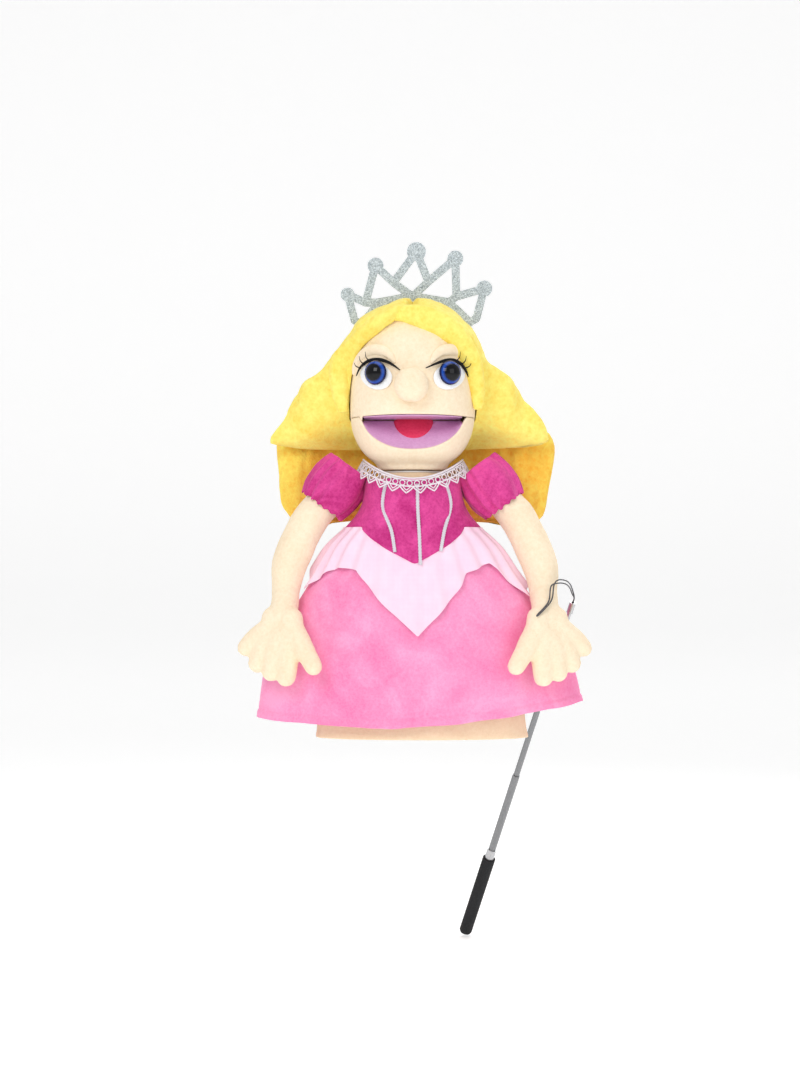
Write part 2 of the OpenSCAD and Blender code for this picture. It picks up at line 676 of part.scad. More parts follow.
body_sleeve();
chest_padding();
bodice();
skirt();
skirt_hem();
peplum();
lace_collar();
braid_left();
braid_centre();
braid_right();
puff_sleeve_left();
puff_sleeve_right();
closure_tape();
neck_tube();
neck_cuff();
head_cover();
nape_cover();
head_foam();
nose();
eye_left();
eye_right();
eye_washer_left();
eye_washer_right();
eye_white_left();
eye_white_right();
eyelid_left();
eyelid_right();
lash_left();
lash_right();
palate_board();
palate_lining();
hair_cap();
hair_fringe_left();
hair_fringe_right();
hair_side_left();
hair_side_right();
hair_wing_left();
hair_wing_right();
hair_back();
crown();
jaw_cover();
jaw_foam();
jaw_board();
jaw_lining();
tongue();
upper_arm_left();
upper_arm_right();
forearm_left();
forearm_right();
hand_left();
hand_right();
wrist_clip();
tip_crimp();
tube_inner();
tube_mid();
tube_outer();
ferrule();
grip();
grip_cap();
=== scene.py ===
# %% [markdown]
# # A half-body plush hand puppet
# The puppet is a hand glove with a foam head, a moving mouth and stuffed arms. The hard design (joints,
# boards, eyes, rod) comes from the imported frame. This lesson sews the soft skins over it, piece by piece.
# Every length is in metres, and every place comes from the frame's own boxes.

# %% Load the frame
import json
import math
import bpy
import bmesh
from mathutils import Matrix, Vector, noise


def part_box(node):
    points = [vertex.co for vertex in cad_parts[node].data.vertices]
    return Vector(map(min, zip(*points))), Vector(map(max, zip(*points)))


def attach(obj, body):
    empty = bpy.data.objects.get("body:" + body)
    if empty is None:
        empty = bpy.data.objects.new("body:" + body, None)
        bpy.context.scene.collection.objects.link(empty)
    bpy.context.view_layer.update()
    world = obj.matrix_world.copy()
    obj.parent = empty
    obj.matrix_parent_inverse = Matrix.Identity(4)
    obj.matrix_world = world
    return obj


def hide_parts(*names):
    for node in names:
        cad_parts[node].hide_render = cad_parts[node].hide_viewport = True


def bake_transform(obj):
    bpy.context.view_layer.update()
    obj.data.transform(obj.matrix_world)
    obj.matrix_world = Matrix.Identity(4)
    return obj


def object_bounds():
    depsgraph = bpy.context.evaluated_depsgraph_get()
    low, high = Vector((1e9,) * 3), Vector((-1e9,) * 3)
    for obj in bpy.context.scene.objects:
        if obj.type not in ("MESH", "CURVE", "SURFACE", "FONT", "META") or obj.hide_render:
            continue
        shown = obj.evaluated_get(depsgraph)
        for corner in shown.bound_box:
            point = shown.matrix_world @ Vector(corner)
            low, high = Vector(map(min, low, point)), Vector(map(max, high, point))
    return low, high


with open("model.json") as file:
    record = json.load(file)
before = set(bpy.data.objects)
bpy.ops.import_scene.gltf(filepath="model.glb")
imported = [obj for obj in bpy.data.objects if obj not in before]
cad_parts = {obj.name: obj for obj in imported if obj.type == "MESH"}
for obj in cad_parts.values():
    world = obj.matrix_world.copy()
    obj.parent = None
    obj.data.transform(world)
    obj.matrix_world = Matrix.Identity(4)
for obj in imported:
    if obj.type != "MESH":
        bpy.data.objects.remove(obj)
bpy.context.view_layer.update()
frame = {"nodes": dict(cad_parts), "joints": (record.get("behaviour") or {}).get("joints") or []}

# %% [markdown]
# Soft skins are easiest to make as grids of points. A row of points is one section of the piece, and the
# rows follow each other along it. A few helpers turn such rows into a mesh, give it thickness and smooth
# it. Modifiers are applied at once, because a skin must be final before it is bent over a joint.

# %% Mesh helpers
MM = 0.001


def new_piece(name, points, faces):
    mesh = bpy.data.meshes.new(name)
    mesh.from_pydata([tuple(p) for p in points], [], faces)
    mesh.validate()
    piece = bpy.data.objects.new(name, mesh)
    bpy.context.scene.collection.objects.link(piece)
    return piece


def apply_modifiers(piece):
    bpy.context.view_layer.update()
    evaluated = piece.evaluated_get(bpy.context.evaluated_depsgraph_get())
    done = bpy.data.meshes.new_from_object(evaluated)
    piece.modifiers.clear()
    piece.data = done
    for face in done.polygons:
        face.use_smooth = True
    return piece


def tidy(piece, thickness=0.0, levels=1, merge=0.00005):
    mesh = bmesh.new()
    mesh.from_mesh(piece.data)
    bmesh.ops.remove_doubles(mesh, verts=mesh.verts, dist=merge)
    bmesh.ops.recalc_face_normals(mesh, faces=mesh.faces)
    mesh.to_mesh(piece.data)
    mesh.free()
    if thickness:
        wall = piece.modifiers.new("wall", "SOLIDIFY")
        wall.thickness = thickness
        wall.offset = -1
    if levels:
        smooth = piece.modifiers.new("smooth", "SUBSURF")
        smooth.levels = levels
        smooth.render_levels = levels
    return apply_modifiers(piece)


def grid_piece(name, rows, closed=False, thickness=0.0, levels=1, keep=None, caps=False):
    columns = len(rows[0])
    points = [p for row in rows for p in row]
    spans = columns if closed else columns - 1
    faces = []
    for i in range(len(rows) - 1):
        for j in range(spans):
            if keep is None or keep(i, j):
                a = i * columns
                b = a + columns
                k = (j + 1) % columns
                faces.append((a + j, a + k, b + k, b + j))
    if caps:
        faces.append(tuple(reversed(range(columns))))
        faces.append(tuple(range((len(rows) - 1) * columns, len(rows) * columns)))
    return tidy(new_piece(name, points, faces), thickness, levels)


def swept(name, path, radii, sides=12, flat=1.0, up=Vector((0, -1, 0)), levels=1):
    rows = []
    for i, centre in enumerate(path):
        ahead = path[min(i + 1, len(path) - 1)] - path[max(i - 1, 0)]
        across = up.cross(ahead).normalized()
        lift = ahead.cross(across).normalized()
        turn = [2 * math.pi * k / sides for k in range(sides)]
        rows.append([centre + radii[i] * (across * math.cos(t) + lift * flat * math.sin(t)) for t in turn])
    return grid_piece(name, rows, closed=True, levels=levels, caps=True)


def along(values, t):
    """The value at t from 0 to 1 along a list, with smooth steps between its entries."""
    place = max(0.0, min(1.0, t)) * (len(values) - 1)
    low = min(int(place), len(values) - 2)
    return values[low] + (values[low + 1] - values[low]) * (place - low)


def curve_through(points, count):
    """Catmull-Rom points through a few given ones."""
    out = []
    last = len(points) - 1
    for step in range(count + 1):
        place = step / count * last
        i = min(int(place), last - 1)
        t = place - i
        p0 = points[max(i - 1, 0)]
        p1 = points[i]
        p2 = points[i + 1]
        p3 = points[min(i + 2, last)]
        out.append(0.5 * ((2 * p1) + (p2 - p0) * t + (2 * p0 - 5 * p1 + 4 * p2 - p3) * t * t
                          + (3 * p1 - p0 - 3 * p2 + p3) * t ** 3))
    return out


def table(rows, z):
    """Values at height z from rows of (height, value, ...), straight lines between."""
    if z <= rows[0][0]:
        return rows[0][1:]
    for low, high in zip(rows, rows[1:]):
        if z <= high[0]:
            t = (z - low[0]) / (high[0] - low[0])
            return tuple(a + (b - a) * t for a, b in zip(low[1:], high[1:]))
    return rows[-1][1:]


def displaced(piece, amount):
    """Moves each vertex along its normal by amount(point)."""
    mesh = piece.data
    normals = [v.normal.copy() for v in mesh.vertices]
    for vertex, normal in zip(mesh.vertices, normals):
        vertex.co += normal * amount(vertex.co)
    mesh.update()
    return piece


def ripple(point, size, seed=0.0):
    return noise.noise(Vector((point.x + seed, point.y - seed, point.z + 2 * seed)) / size)


def joined(parts, name):
    whole = parts[0]
    chosen = {"active_object": whole, "selected_editable_objects": parts, "selected_objects": parts}
    with bpy.context.temp_override(**chosen):
        bpy.ops.object.join()
    whole.name = name
    return whole


def paint(piece, *materials):
    piece.data.materials.clear()
    for material in materials:
        piece.data.materials.append(material)
    return piece


print("helpers ready")

# %% [markdown]
# Fleece, plush and velvet all have a pile: short hairs that catch light in patches where a hand brushed
# them. One node group makes that: fine hairs for the bump and broad patches for the tone. Each cloth
# then mixes its own two colours with it. A second group makes a woven face for satin, lace, braid, tape and
# the card boards.

# %% Shared node groups
def group_with(name, inputs, outputs):
    tree = bpy.data.node_groups.new(name, "ShaderNodeTree")
    for label, value in inputs:
        socket = tree.interface.new_socket(label, in_out="INPUT", socket_type="NodeSocketFloat")
        socket.default_value = value
    for label in outputs:
        tree.interface.new_socket(label, in_out="OUTPUT", socket_type="NodeSocketFloat")
    return tree, tree.nodes.new("NodeGroupInput"), tree.nodes.new("NodeGroupOutput")


def node(tree, kind, **settings):
    made = tree.nodes.new(kind)
    for key, value in settings.items():
        setattr(made, key, value)
    return made


def maths(tree, operation, a, b):
    made = node(tree, "ShaderNodeMath", operation=operation)
    for socket, value in zip(made.inputs, (a, b)):
        if isinstance(value, (int, float)):
            socket.default_value = value
        else:
            tree.links.new(value, socket)
    return made.outputs[0]


def pile_group():
    tree, given, result = group_with(
        "pile", [("Hair", 900.0), ("Patch", 28.0), ("Mottle", 0.5)], ["Tone", "Height"])
    place = node(tree, "ShaderNodeTexCoord").outputs["Object"]
    hair = node(tree, "ShaderNodeTexNoise")
    hair.inputs["Detail"].default_value = 3
    patch = node(tree, "ShaderNodeTexNoise")
    patch.inputs["Detail"].default_value = 4
    patch.inputs["Distortion"].default_value = 1.2
    clump = node(tree, "ShaderNodeTexVoronoi", feature="SMOOTH_F1")
    for texture in (hair, patch, clump):
        tree.links.new(place, texture.inputs["Vector"])
    tree.links.new(given.outputs["Hair"], hair.inputs["Scale"])
    tree.links.new(given.outputs["Patch"], patch.inputs["Scale"])
    tree.links.new(maths(tree, "MULTIPLY", given.outputs["Hair"], 0.45), clump.inputs["Scale"])
    tuft = maths(tree, "ADD", maths(tree, "MULTIPLY", hair.outputs["Fac"], 0.55),
                 maths(tree, "MULTIPLY", clump.outputs["Distance"], 0.45))
    broad = maths(tree, "MULTIPLY", maths(tree, "SUBTRACT", patch.outputs["Fac"], 0.5), 2.2)
    broad = maths(tree, "MULTIPLY", broad, given.outputs["Mottle"])
    fine = maths(tree, "MULTIPLY", maths(tree, "SUBTRACT", tuft, 0.42), 0.9)
    tone = maths(tree, "ADD", maths(tree, "ADD", broad, fine), 0.5)
    tree.links.new(tone, result.inputs["Tone"])
    tree.links.new(tuft, result.inputs["Height"])
    return tree


def weave_group():
    tree, given, result = group_with("weave", [("Threads", 1400.0), ("Slub", 0.4)], ["Tone", "Height"])
    place = node(tree, "ShaderNodeTexCoord").outputs["Object"]
    warp = node(tree, "ShaderNodeTexWave", bands_direction="X")
    weft = node(tree, "ShaderNodeTexWave", bands_direction="Z")
    slub = node(tree, "ShaderNodeTexNoise")
    slub.inputs["Scale"].default_value = 60
    for texture in (warp, weft, slub):
        tree.links.new(place, texture.inputs["Vector"])
    for texture in (warp, weft):
        texture.inputs["Distortion"].default_value = 0.6
        tree.links.new(maths(tree, "MULTIPLY", given.outputs["Threads"], 0.16), texture.inputs["Scale"])
    cross = maths(tree, "MAXIMUM", warp.outputs["Fac"], weft.outputs["Fac"])
    uneven = maths(tree, "MULTIPLY", slub.outputs["Fac"], given.outputs["Slub"])
    tree.links.new(maths(tree, "ADD", maths(tree, "MULTIPLY", cross, 0.4), uneven), result.inputs["Tone"])
    tree.links.new(cross, result.inputs["Height"])
    return tree


PILE = pile_group()
WEAVE = weave_group()
print("groups", PILE.name, WEAVE.name)

# %% [markdown]
# A cloth material is a base of two tones, a bump from its group and a sheen. Sheen is what makes velvet
# bright at its edges, so its weight is set on the shader for each cloth.

# %% Cloth materials
def linear(colour):
    """A display colour (0 to 255) as the linear colour that shaders use."""
    def channel(v):
        v = v / 255
        return v / 12.92 if v <= 0.04045 else ((v + 0.055) / 1.055) ** 2.4
    return tuple(channel(v) for v in colour) + (1.0,)


def shader_of(name):
    material = bpy.data.materials.new(name)
    material.use_nodes = True
    return material, material.node_tree, material.node_tree.nodes["Principled BSDF"]


def cloth(name, dark, light, group=None, values=(), rough=0.9, bump=0.5, depth=0.0012,
          sheen=0.3, tint=None):
    material, tree, shader = shader_of(name)
    effect = node(tree, "ShaderNodeGroup", node_tree=group or PILE)
    for label, value in dict(values).items():
        effect.inputs[label].default_value = value
    ramp = node(tree, "ShaderNodeValToRGB")
    ramp.color_ramp.elements[0].position = 0.15
    ramp.color_ramp.elements[0].color = linear(dark)
    ramp.color_ramp.elements[1].position = 0.85
    ramp.color_ramp.elements[1].color = linear(light)
    relief = node(tree, "ShaderNodeBump")
    relief.inputs["Strength"].default_value = bump
    relief.inputs["Distance"].default_value = depth
    tree.links.new(effect.outputs["Tone"], ramp.inputs["Fac"])
    tree.links.new(ramp.outputs["Color"], shader.inputs["Base Color"])
    tree.links.new(effect.outputs["Height"], relief.inputs["Height"])
    tree.links.new(relief.outputs["Normal"], shader.inputs["Normal"])
    shader.inputs["Roughness"].default_value = rough
    shader.inputs["Specular IOR Level"].default_value = 0.25
    shader.inputs["Sheen Weight"].default_value = sheen
    shader.inputs["Sheen Roughness"].default_value = 0.45
    shader.inputs["Sheen Tint"].default_value = linear(tint or light)
    return material


skin_fleece = cloth("skin_fleece", (242, 218, 184), (255, 240, 214),
                    values={"Hair": 650, "Mottle": 0.22},
                    bump=0.35, sheen=0.25)
sleeve_fleece = cloth("sleeve_fleece", (240, 210, 172), (253, 230, 198),
                      values={"Hair": 650, "Mottle": 0.25},
                      bump=0.35, sheen=0.25)
skirt_velvet = cloth("skirt_velvet", (246, 126, 178), (255, 168, 210),
                     values={"Hair": 900, "Patch": 16, "Mottle": 0.75},
                     bump=0.25, depth=0.0008, sheen=0.45, tint=(255, 205, 228))
bodice_velvet = cloth("bodice_velvet", (178, 28, 110), (228, 80, 158),
                      values={"Hair": 900, "Patch": 22, "Mottle": 0.8},
                      bump=0.25, depth=0.0008, sheen=0.5, tint=(255, 150, 205))
hair_plush = cloth("hair_plush", (250, 208, 72), (255, 249, 138),
                   values={"Hair": 420, "Patch": 18, "Mottle": 0.3},
                   bump=0.75, depth=0.002, sheen=0.4, tint=(255, 250, 190))
# Painted shade: the curtain under the hood is the hood's plush painted darker and more orange, for the shade
# it hangs in.
hair_plush_painted_shade = cloth("hair_plush_painted_shade", (246, 182, 58), (255, 236, 108),
                   values={"Hair": 420, "Patch": 18, "Mottle": 0.5},
                   bump=0.8, depth=0.002, sheen=0.4, tint=(255, 240, 160))
petal_satin = cloth("petal_satin", (249, 202, 227), (255, 234, 247),
                    group=WEAVE, values={"Threads": 1600},
                    rough=0.5, bump=0.12, depth=0.0004, sheen=0.2)
mouth_felt = cloth("mouth_felt", (214, 158, 204), (238, 194, 230),
                   values={"Hair": 800, "Mottle": 0.3}, bump=0.3)
tongue_felt = cloth("tongue_felt", (226, 48, 88), (250, 84, 118),
                    values={"Hair": 800, "Mottle": 0.3}, bump=0.3)
white_felt = cloth("white_felt", (232, 234, 238), (255, 255, 255),
                   values={"Hair": 900, "Mottle": 0.2}, bump=0.3)
lace_thread = cloth("lace_thread", (226, 214, 226), (255, 252, 255),
                    group=WEAVE, values={"Threads": 2600},
                    rough=0.75, bump=0.4, depth=0.0004, sheen=0.1)
lash_thread = cloth("lash_thread", (10, 10, 12), (30, 30, 34),
                    group=WEAVE, values={"Threads": 3000}, bump=0.3,
                    depth=0.0003, sheen=0.0)
tape_cloth = cloth("tape_cloth", (226, 222, 216), (248, 246, 242), group=WEAVE, values={"Threads": 1500},
                   bump=0.4, depth=0.0004)
foam_cell = cloth("foam_cell", (232, 222, 198), (250, 243, 226),
                  values={"Hair": 500, "Mottle": 0.2}, bump=0.6)
board_card = cloth("board_card", (168, 138, 96), (204, 174, 130),
                   group=WEAVE, values={"Threads": 900}, bump=0.2)
print("cloths ready")

# %% [markdown]
# The rod is drawn steel tube, so its scratches run along it. The crown is felt under a coat of glitter:
# many small flakes, each tilted its own way. The eyes are domes of clear plastic over a printed disc, so
# their colour depends on the distance from the eye's own axis.

# %% Hard and shiny materials
def brushed_steel(name, tone):
    material, tree, shader = shader_of(name)
    place = node(tree, "ShaderNodeTexCoord").outputs["Object"]
    stretch = node(tree, "ShaderNodeMapping")
    stretch.inputs["Rotation"].default_value = (math.radians(-26), math.radians(-16), 0)
    stretch.inputs["Scale"].default_value = (900, 900, 22)
    scratch = node(tree, "ShaderNodeTexNoise")
    scratch.inputs["Scale"].default_value = 1.0
    scratch.inputs["Detail"].default_value = 4
    tree.links.new(place, stretch.inputs["Vector"])
    tree.links.new(stretch.outputs["Vector"], scratch.inputs["Vector"])
    ramp = node(tree, "ShaderNodeValToRGB")
    ramp.color_ramp.elements[0].color = linear([v * 0.82 for v in tone])
    ramp.color_ramp.elements[1].color = linear(tone)
    tree.links.new(scratch.outputs["Fac"], ramp.inputs["Fac"])
    tree.links.new(ramp.outputs["Color"], shader.inputs["Base Color"])
    rough = maths(tree, "ADD", maths(tree, "MULTIPLY", scratch.outputs["Fac"], 0.2), 0.2)
    tree.links.new(rough, shader.inputs["Roughness"])
    shader.inputs["Metallic"].default_value = 1.0
    return material


def glitter():
    material, tree, shader = shader_of("crown_glitter")
    place = node(tree, "ShaderNodeTexCoord").outputs["Object"]
    flake = node(tree, "ShaderNodeTexVoronoi")
    flake.inputs["Scale"].default_value = 1100
    tree.links.new(place, flake.inputs["Vector"])
    ramp = node(tree, "ShaderNodeValToRGB")
    ramp.color_ramp.elements[0].color = linear((148, 160, 166))
    ramp.color_ramp.elements[1].color = linear((224, 233, 237))
    spread = node(tree, "ShaderNodeSeparateColor")
    tree.links.new(flake.outputs["Color"], spread.inputs["Color"])
    tree.links.new(spread.outputs[0], ramp.inputs["Fac"])
    tree.links.new(ramp.outputs["Color"], shader.inputs["Base Color"])
    relief = node(tree, "ShaderNodeBump")
    relief.inputs["Strength"].default_value = 0.8
    relief.inputs["Distance"].default_value = 0.0006
    tree.links.new(spread.outputs[1], relief.inputs["Height"])
    tree.links.new(relief.outputs["Normal"], shader.inputs["Normal"])
    tree.links.new(maths(tree, "ADD", maths(tree, "MULTIPLY", spread.outputs[2], 0.35), 0.2),
                   shader.inputs["Roughness"])
    shader.inputs["Metallic"].default_value = 0.25
    return material


def eye_plastic(name, centre, axis, radius):
    material, tree, shader = shader_of(name)
    place = node(tree, "ShaderNodeTexCoord").outputs["Object"]
    offset = node(tree, "ShaderNodeVectorMath", operation="SUBTRACT")
    offset.inputs[1].default_value = centre
    tree.links.new(place, offset.inputs[0])
    around = node(tree, "ShaderNodeVectorMath", operation="CROSS_PRODUCT")
    around.inputs[1].default_value = axis
    tree.links.new(offset.outputs[0], around.inputs[0])
    length = node(tree, "ShaderNodeVectorMath", operation="LENGTH")
    tree.links.new(around.outputs[0], length.inputs[0])
    rings = node(tree, "ShaderNodeValToRGB")
    tree.links.new(maths(tree, "DIVIDE", length.outputs["Value"], radius), rings.inputs["Fac"])
    stops = rings.color_ramp.elements
    stops[0].color = linear((4, 5, 10))
    stops[0].position = 0.0
    stops[1].color = linear((10, 16, 44))
    stops[1].position = 1.0
    pupil_edge, iris_inner, iris_outer, rim = (3, 4, 8), (12, 44, 118), (24, 78, 178), (8, 26, 84)
    for place_at, colour in ((0.66, pupil_edge), (0.72, iris_inner), (0.84, iris_outer), (0.93, rim)):
        made = stops.new(place_at)
        made.color = linear(colour)
    tree.links.new(rings.outputs["Color"], shader.inputs["Base Color"])
    shader.inputs["Roughness"].default_value = 0.06
    shader.inputs["Specular IOR Level"].default_value = 0.15
    shader.inputs["Coat Weight"].default_value = 0.6
    shader.inputs["Coat IOR"].default_value = 1.35
    shader.inputs["Coat Roughness"].default_value = 0.03
    return material


steel_bright = brushed_steel("steel_bright", (205, 206, 208))
steel_grey = brushed_steel("steel_grey", (150, 151, 153))
wire_dark = brushed_steel("wire_dark", (112, 112, 115))
crown_glitter = glitter()
foam_black = cloth("grip_foam", (20, 20, 21), (44, 44, 46), values={"Hair": 1500, "Mottle": 0.2},
                   rough=0.75, bump=0.5, depth=0.0003, sheen=0.1)
washer_plastic = cloth("washer_plastic", (220, 220, 220), (240, 240, 240),
                       values={"Hair": 300, "Mottle": 0.1}, rough=0.4, bump=0.1, sheen=0)
print("hard materials ready")

# %% [markdown]
# The head is one rounded form: wide and flat across the face, like a foam ball under fleece. Its size
# comes from the frame's head node. The same formula gives any point of the face, so that eyes, lids and
# lashes can lie on it.

# %% The head's form
head_low, head_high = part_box("head_cover")
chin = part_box("jaw_cover")[0].z
hx = (head_low.x + head_high.x) / 2
head_wide = (head_high.x - head_low.x) / 2
head_deep = (head_high.y - head_low.y) / 2
head_top = head_high.z
# The head is widest 69 mm above the chin, on a head 163 mm high.
WIDEST_RISE = 69
HEAD_RISE = 163
level = chin + (head_top - chin) * WIDEST_RISE / HEAD_RISE
mouth_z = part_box("palate_lining")[0].z - 1.5 * MM
hinge_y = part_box("palate_lining")[1].y
lip_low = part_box("jaw_lining")[0].z + 0.2 * MM
corner = (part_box("jaw_lining")[1].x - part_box("jaw_lining")[0].x) / 2 + 1.5 * MM


def skull(z, off=0.0):
    upper = z >= level
    power = 2.3 if upper else 2.6
    reach = (head_top - level if upper else level - chin) + off
    u = min(abs(z - level) / reach, 1.0)
    return max(0.0, 1 - u ** power) ** (1 / power)


def super_point(a, wide, deep, power):
    c, s = math.cos(a), math.sin(a)
    return (wide * math.copysign(abs(c) ** (2 / power), c), deep * math.copysign(abs(s) ** (2 / power), s))


def head_point(a, z, off=0.0, least=0.0):
    k = skull(z, off)
    x, y = super_point(a, max((head_wide + off) * k, least), max((head_deep + off) * k, least), 2.4)
    return Vector((hx + x, y, z))


def face_point(x, z, off=0.0):
    k = skull(z, off)
    u = min(abs(x - hx) / ((head_wide + off) * k), 1.0)
    return Vector((x, -(head_deep + off) * k * max(0.03, 1 - u ** 2.4) ** (1 / 2.4), z))


print("head", round(head_wide, 4), round(head_deep, 4), "level", round(level, 4), "chin", round(chin, 4))

# %% [markdown]
# declare_sheet measures a cloth piece as a flat sheet: the longest row by the longest of every eighth column
# of the piece as it is made here. The measures are not kept.


def run_length(points, closed=False):
    pairs = zip(points, points[1:] + (points[:1] if closed else []))
    return sum((b - a).length for a, b in pairs)


def declare_sheet(rows, closed):
    wide = max(run_length(row, closed) for row in rows)
    long = max(run_length([row[j] for row in rows]) for j in range(0, len(rows[0]), 8))


print("sheet measures ready")

# %% [markdown]
# The head's skin is a fleece cover with a slit for the mouth. It is modelled as a grid around the head.
# The rows above the slit and behind it move with the head. The chin's rows are a piece of their own.

# %% Head skin and chin skin
AROUND = 96
neck_wide = 34 * MM
turns = [2 * math.pi * i / AROUND for i in range(AROUND)]


def lip_height(a, lower):
    if math.sin(a) >= 0:
        return mouth_z + 1 * MM
    x = abs(head_point(a, mouth_z).x - hx)
    open_share = min(x / corner, 1.0)
    if open_share >= 1:
        return mouth_z + 1 * MM
    if lower:
        return lip_low + (mouth_z - lip_low) * (1 - (1 - open_share ** 2.6) ** 0.5)
    return mouth_z + (2.2 - 1.2 * open_share ** 2) * MM


def skin_point(a, z):
    p = head_point(a, z, 0.0, neck_wide)
    seam = math.exp(-((p.x - hx) / (1.6 * MM)) ** 2) if math.sin(a) < 0 else 0.0
    inward = Vector((hx, 0, z)) - p
    crease = 0.9 * MM * seam + 0.5 * MM * ripple(p, 0.03)
    return p + inward.normalized() * crease if inward.length > 0 else p


lower_rows = [[skin_point(a, chin + (lip_height(a, True) - chin) * (t / 10) ** 0.9) for a in turns]
              for t in range(11)]
upper_steps = [0, 0.04, 0.1, 0.2, 0.32, 0.44, 0.55, 0.66, 0.76, 0.85, 0.92, 0.965, 0.99, 0.9995]
upper_rows = [[skin_point(a, lip_height(a, False) + (head_top - lip_height(a, False)) * t) for a in turns]
              for t in upper_steps]
jaw_first = AROUND // 2 + 1
jaw_last = AROUND - 2


def is_jaw(j):
    return jaw_first <= j <= jaw_last


head_rows = lower_rows + upper_rows
head_skin = grid_piece(
    "head_skin", head_rows, closed=True, thickness=2 * MM, levels=1,
    keep=lambda i, j: i > 10 or (i == 10 and (lower_rows[10][j] - upper_rows[0][j]).length < 0.2 * MM)
    or (i < 10 and not is_jaw(j)), caps=False)
paint(head_skin, skin_fleece)
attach(head_skin, "head")
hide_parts("head_cover", "nape_cover", "head_foam")
declare_sheet(head_rows, True)

chin_skin = grid_piece(
    "chin_skin", [row[jaw_first - 1:jaw_last + 3] for row in lower_rows], thickness=2.2 * MM, levels=1)
paint(chin_skin, skin_fleece)
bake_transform(chin_skin)
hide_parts("jaw_cover", "jaw_foam")
declare_sheet([row[jaw_first - 1:jaw_last + 3] for row in lower_rows], False)
print("skin", len(head_skin.data.vertices), len(chin_skin.data.vertices))

# %% [markdown]
# Inside the mouth two felt plates meet at a fold. Each is a ruled sheet from the lip back to the hinge
# line, thick enough to show its cut edge. The tongue is a soft red half-oval sewn near the fold.

# %% Mouth plates and tongue
def mouth_plate(name, lower, body, node_names):
    picked = [a for a in turns if math.sin(a) < 0 and abs(head_point(a, mouth_z).x - hx) <= corner]
    rows = []
    for t in (0, 0.1, 0.25, 0.45, 0.65, 0.82, 0.93, 1.0):
        row = []
        for a in picked:
            z = lip_height(a, lower) - (0.2 if lower else -0.2) * MM
            lip = head_point(a, z, -2.4 * MM)
            fold = Vector((lip.x, hinge_y, mouth_z + (-0.6 if lower else 1.0) * MM))
            dip = math.sin(math.pi * t) * (0.8 if lower else 1.5) * MM
            row.append(lip.lerp(fold, t) + Vector((0, 0, dip)))
        rows.append(row)
    plate = grid_piece(name, rows, thickness=1.4 * MM, levels=1)
    paint(plate, mouth_felt)
    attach(plate, body)
    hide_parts(*node_names)
    return plate


mouth_plate("lower_mouth_felt", True, "jaw", ["jaw_lining"])
mouth_plate("upper_mouth_felt", False, "head", ["palate_lining"])

tongue_low, tongue_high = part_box("tongue")
tongue_rows = []
slope = math.atan2(mouth_z - lip_low, abs(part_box("jaw_lining")[0].y - hinge_y))
half = (tongue_high.x - tongue_low.x) / 2
reach = 30 * MM
for t in (0.02, 0.2, 0.45, 0.7, 0.88, 1.0):
    row = []
    for k in range(25):
        a = math.pi * (1 + k / 24)
        run = -math.sin(a) * reach * t
        puff = 2.6 * MM * math.sqrt(max(0.0, 1 - t ** 2)) + 0.3 * MM
        x = hx + 1 * MM + math.cos(a) * half * t
        z = mouth_z - 1 * MM - run * math.sin(slope) + puff
        row.append(Vector((x, hinge_y - 2 * MM - run * math.cos(slope), z)))
    tongue_rows.append(row)
tongue = paint(grid_piece("tongue_felt", tongue_rows, thickness=1.5 * MM), tongue_felt)
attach(tongue, "jaw")
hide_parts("tongue")
for board in ("palate_board", "jaw_board"):
    paint(frame["nodes"][board], board_card)
print("mouth slope", round(math.degrees(slope), 1))

# %% [markdown]
# The nose is a stuffed ball of the same fleece, drawn in by a stitch where it meets the face. The lids are
# puffed rolls over the eyes, and the eye whites are felt cut-outs under the plastic eyes.

# %% Nose, eye whites, lids and lashes
nose_low, nose_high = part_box("nose")
nose_centre = (nose_low + nose_high) / 2 + Vector((0, 1.5 * MM, 0))
nose_wide = (nose_high.x - nose_low.x) / 2
nose_rows = []
for i in range(1, 18):
    b = math.pi * i / 18
    row = []
    for k in range(36):
        a = 2 * math.pi * k / 36
        p = Vector((math.sin(b) * math.cos(a) * nose_wide, -math.cos(b) * nose_wide * 0.72,
                    math.sin(b) * math.sin(a) * nose_wide * 1.02))
        pinch = 0.9 * MM * math.exp(-(a - math.pi * 1.5) ** 2 * 30) * math.sin(b)
        row.append(nose_centre + p * (1 + 0.05 * ripple(p, 0.012, 3)) * (1 - pinch / nose_wide))
    nose_rows.append(row)
nose = paint(grid_piece("nose_ball", nose_rows, closed=True, levels=1, caps=True), skin_fleece)
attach(nose, "head")
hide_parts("nose")

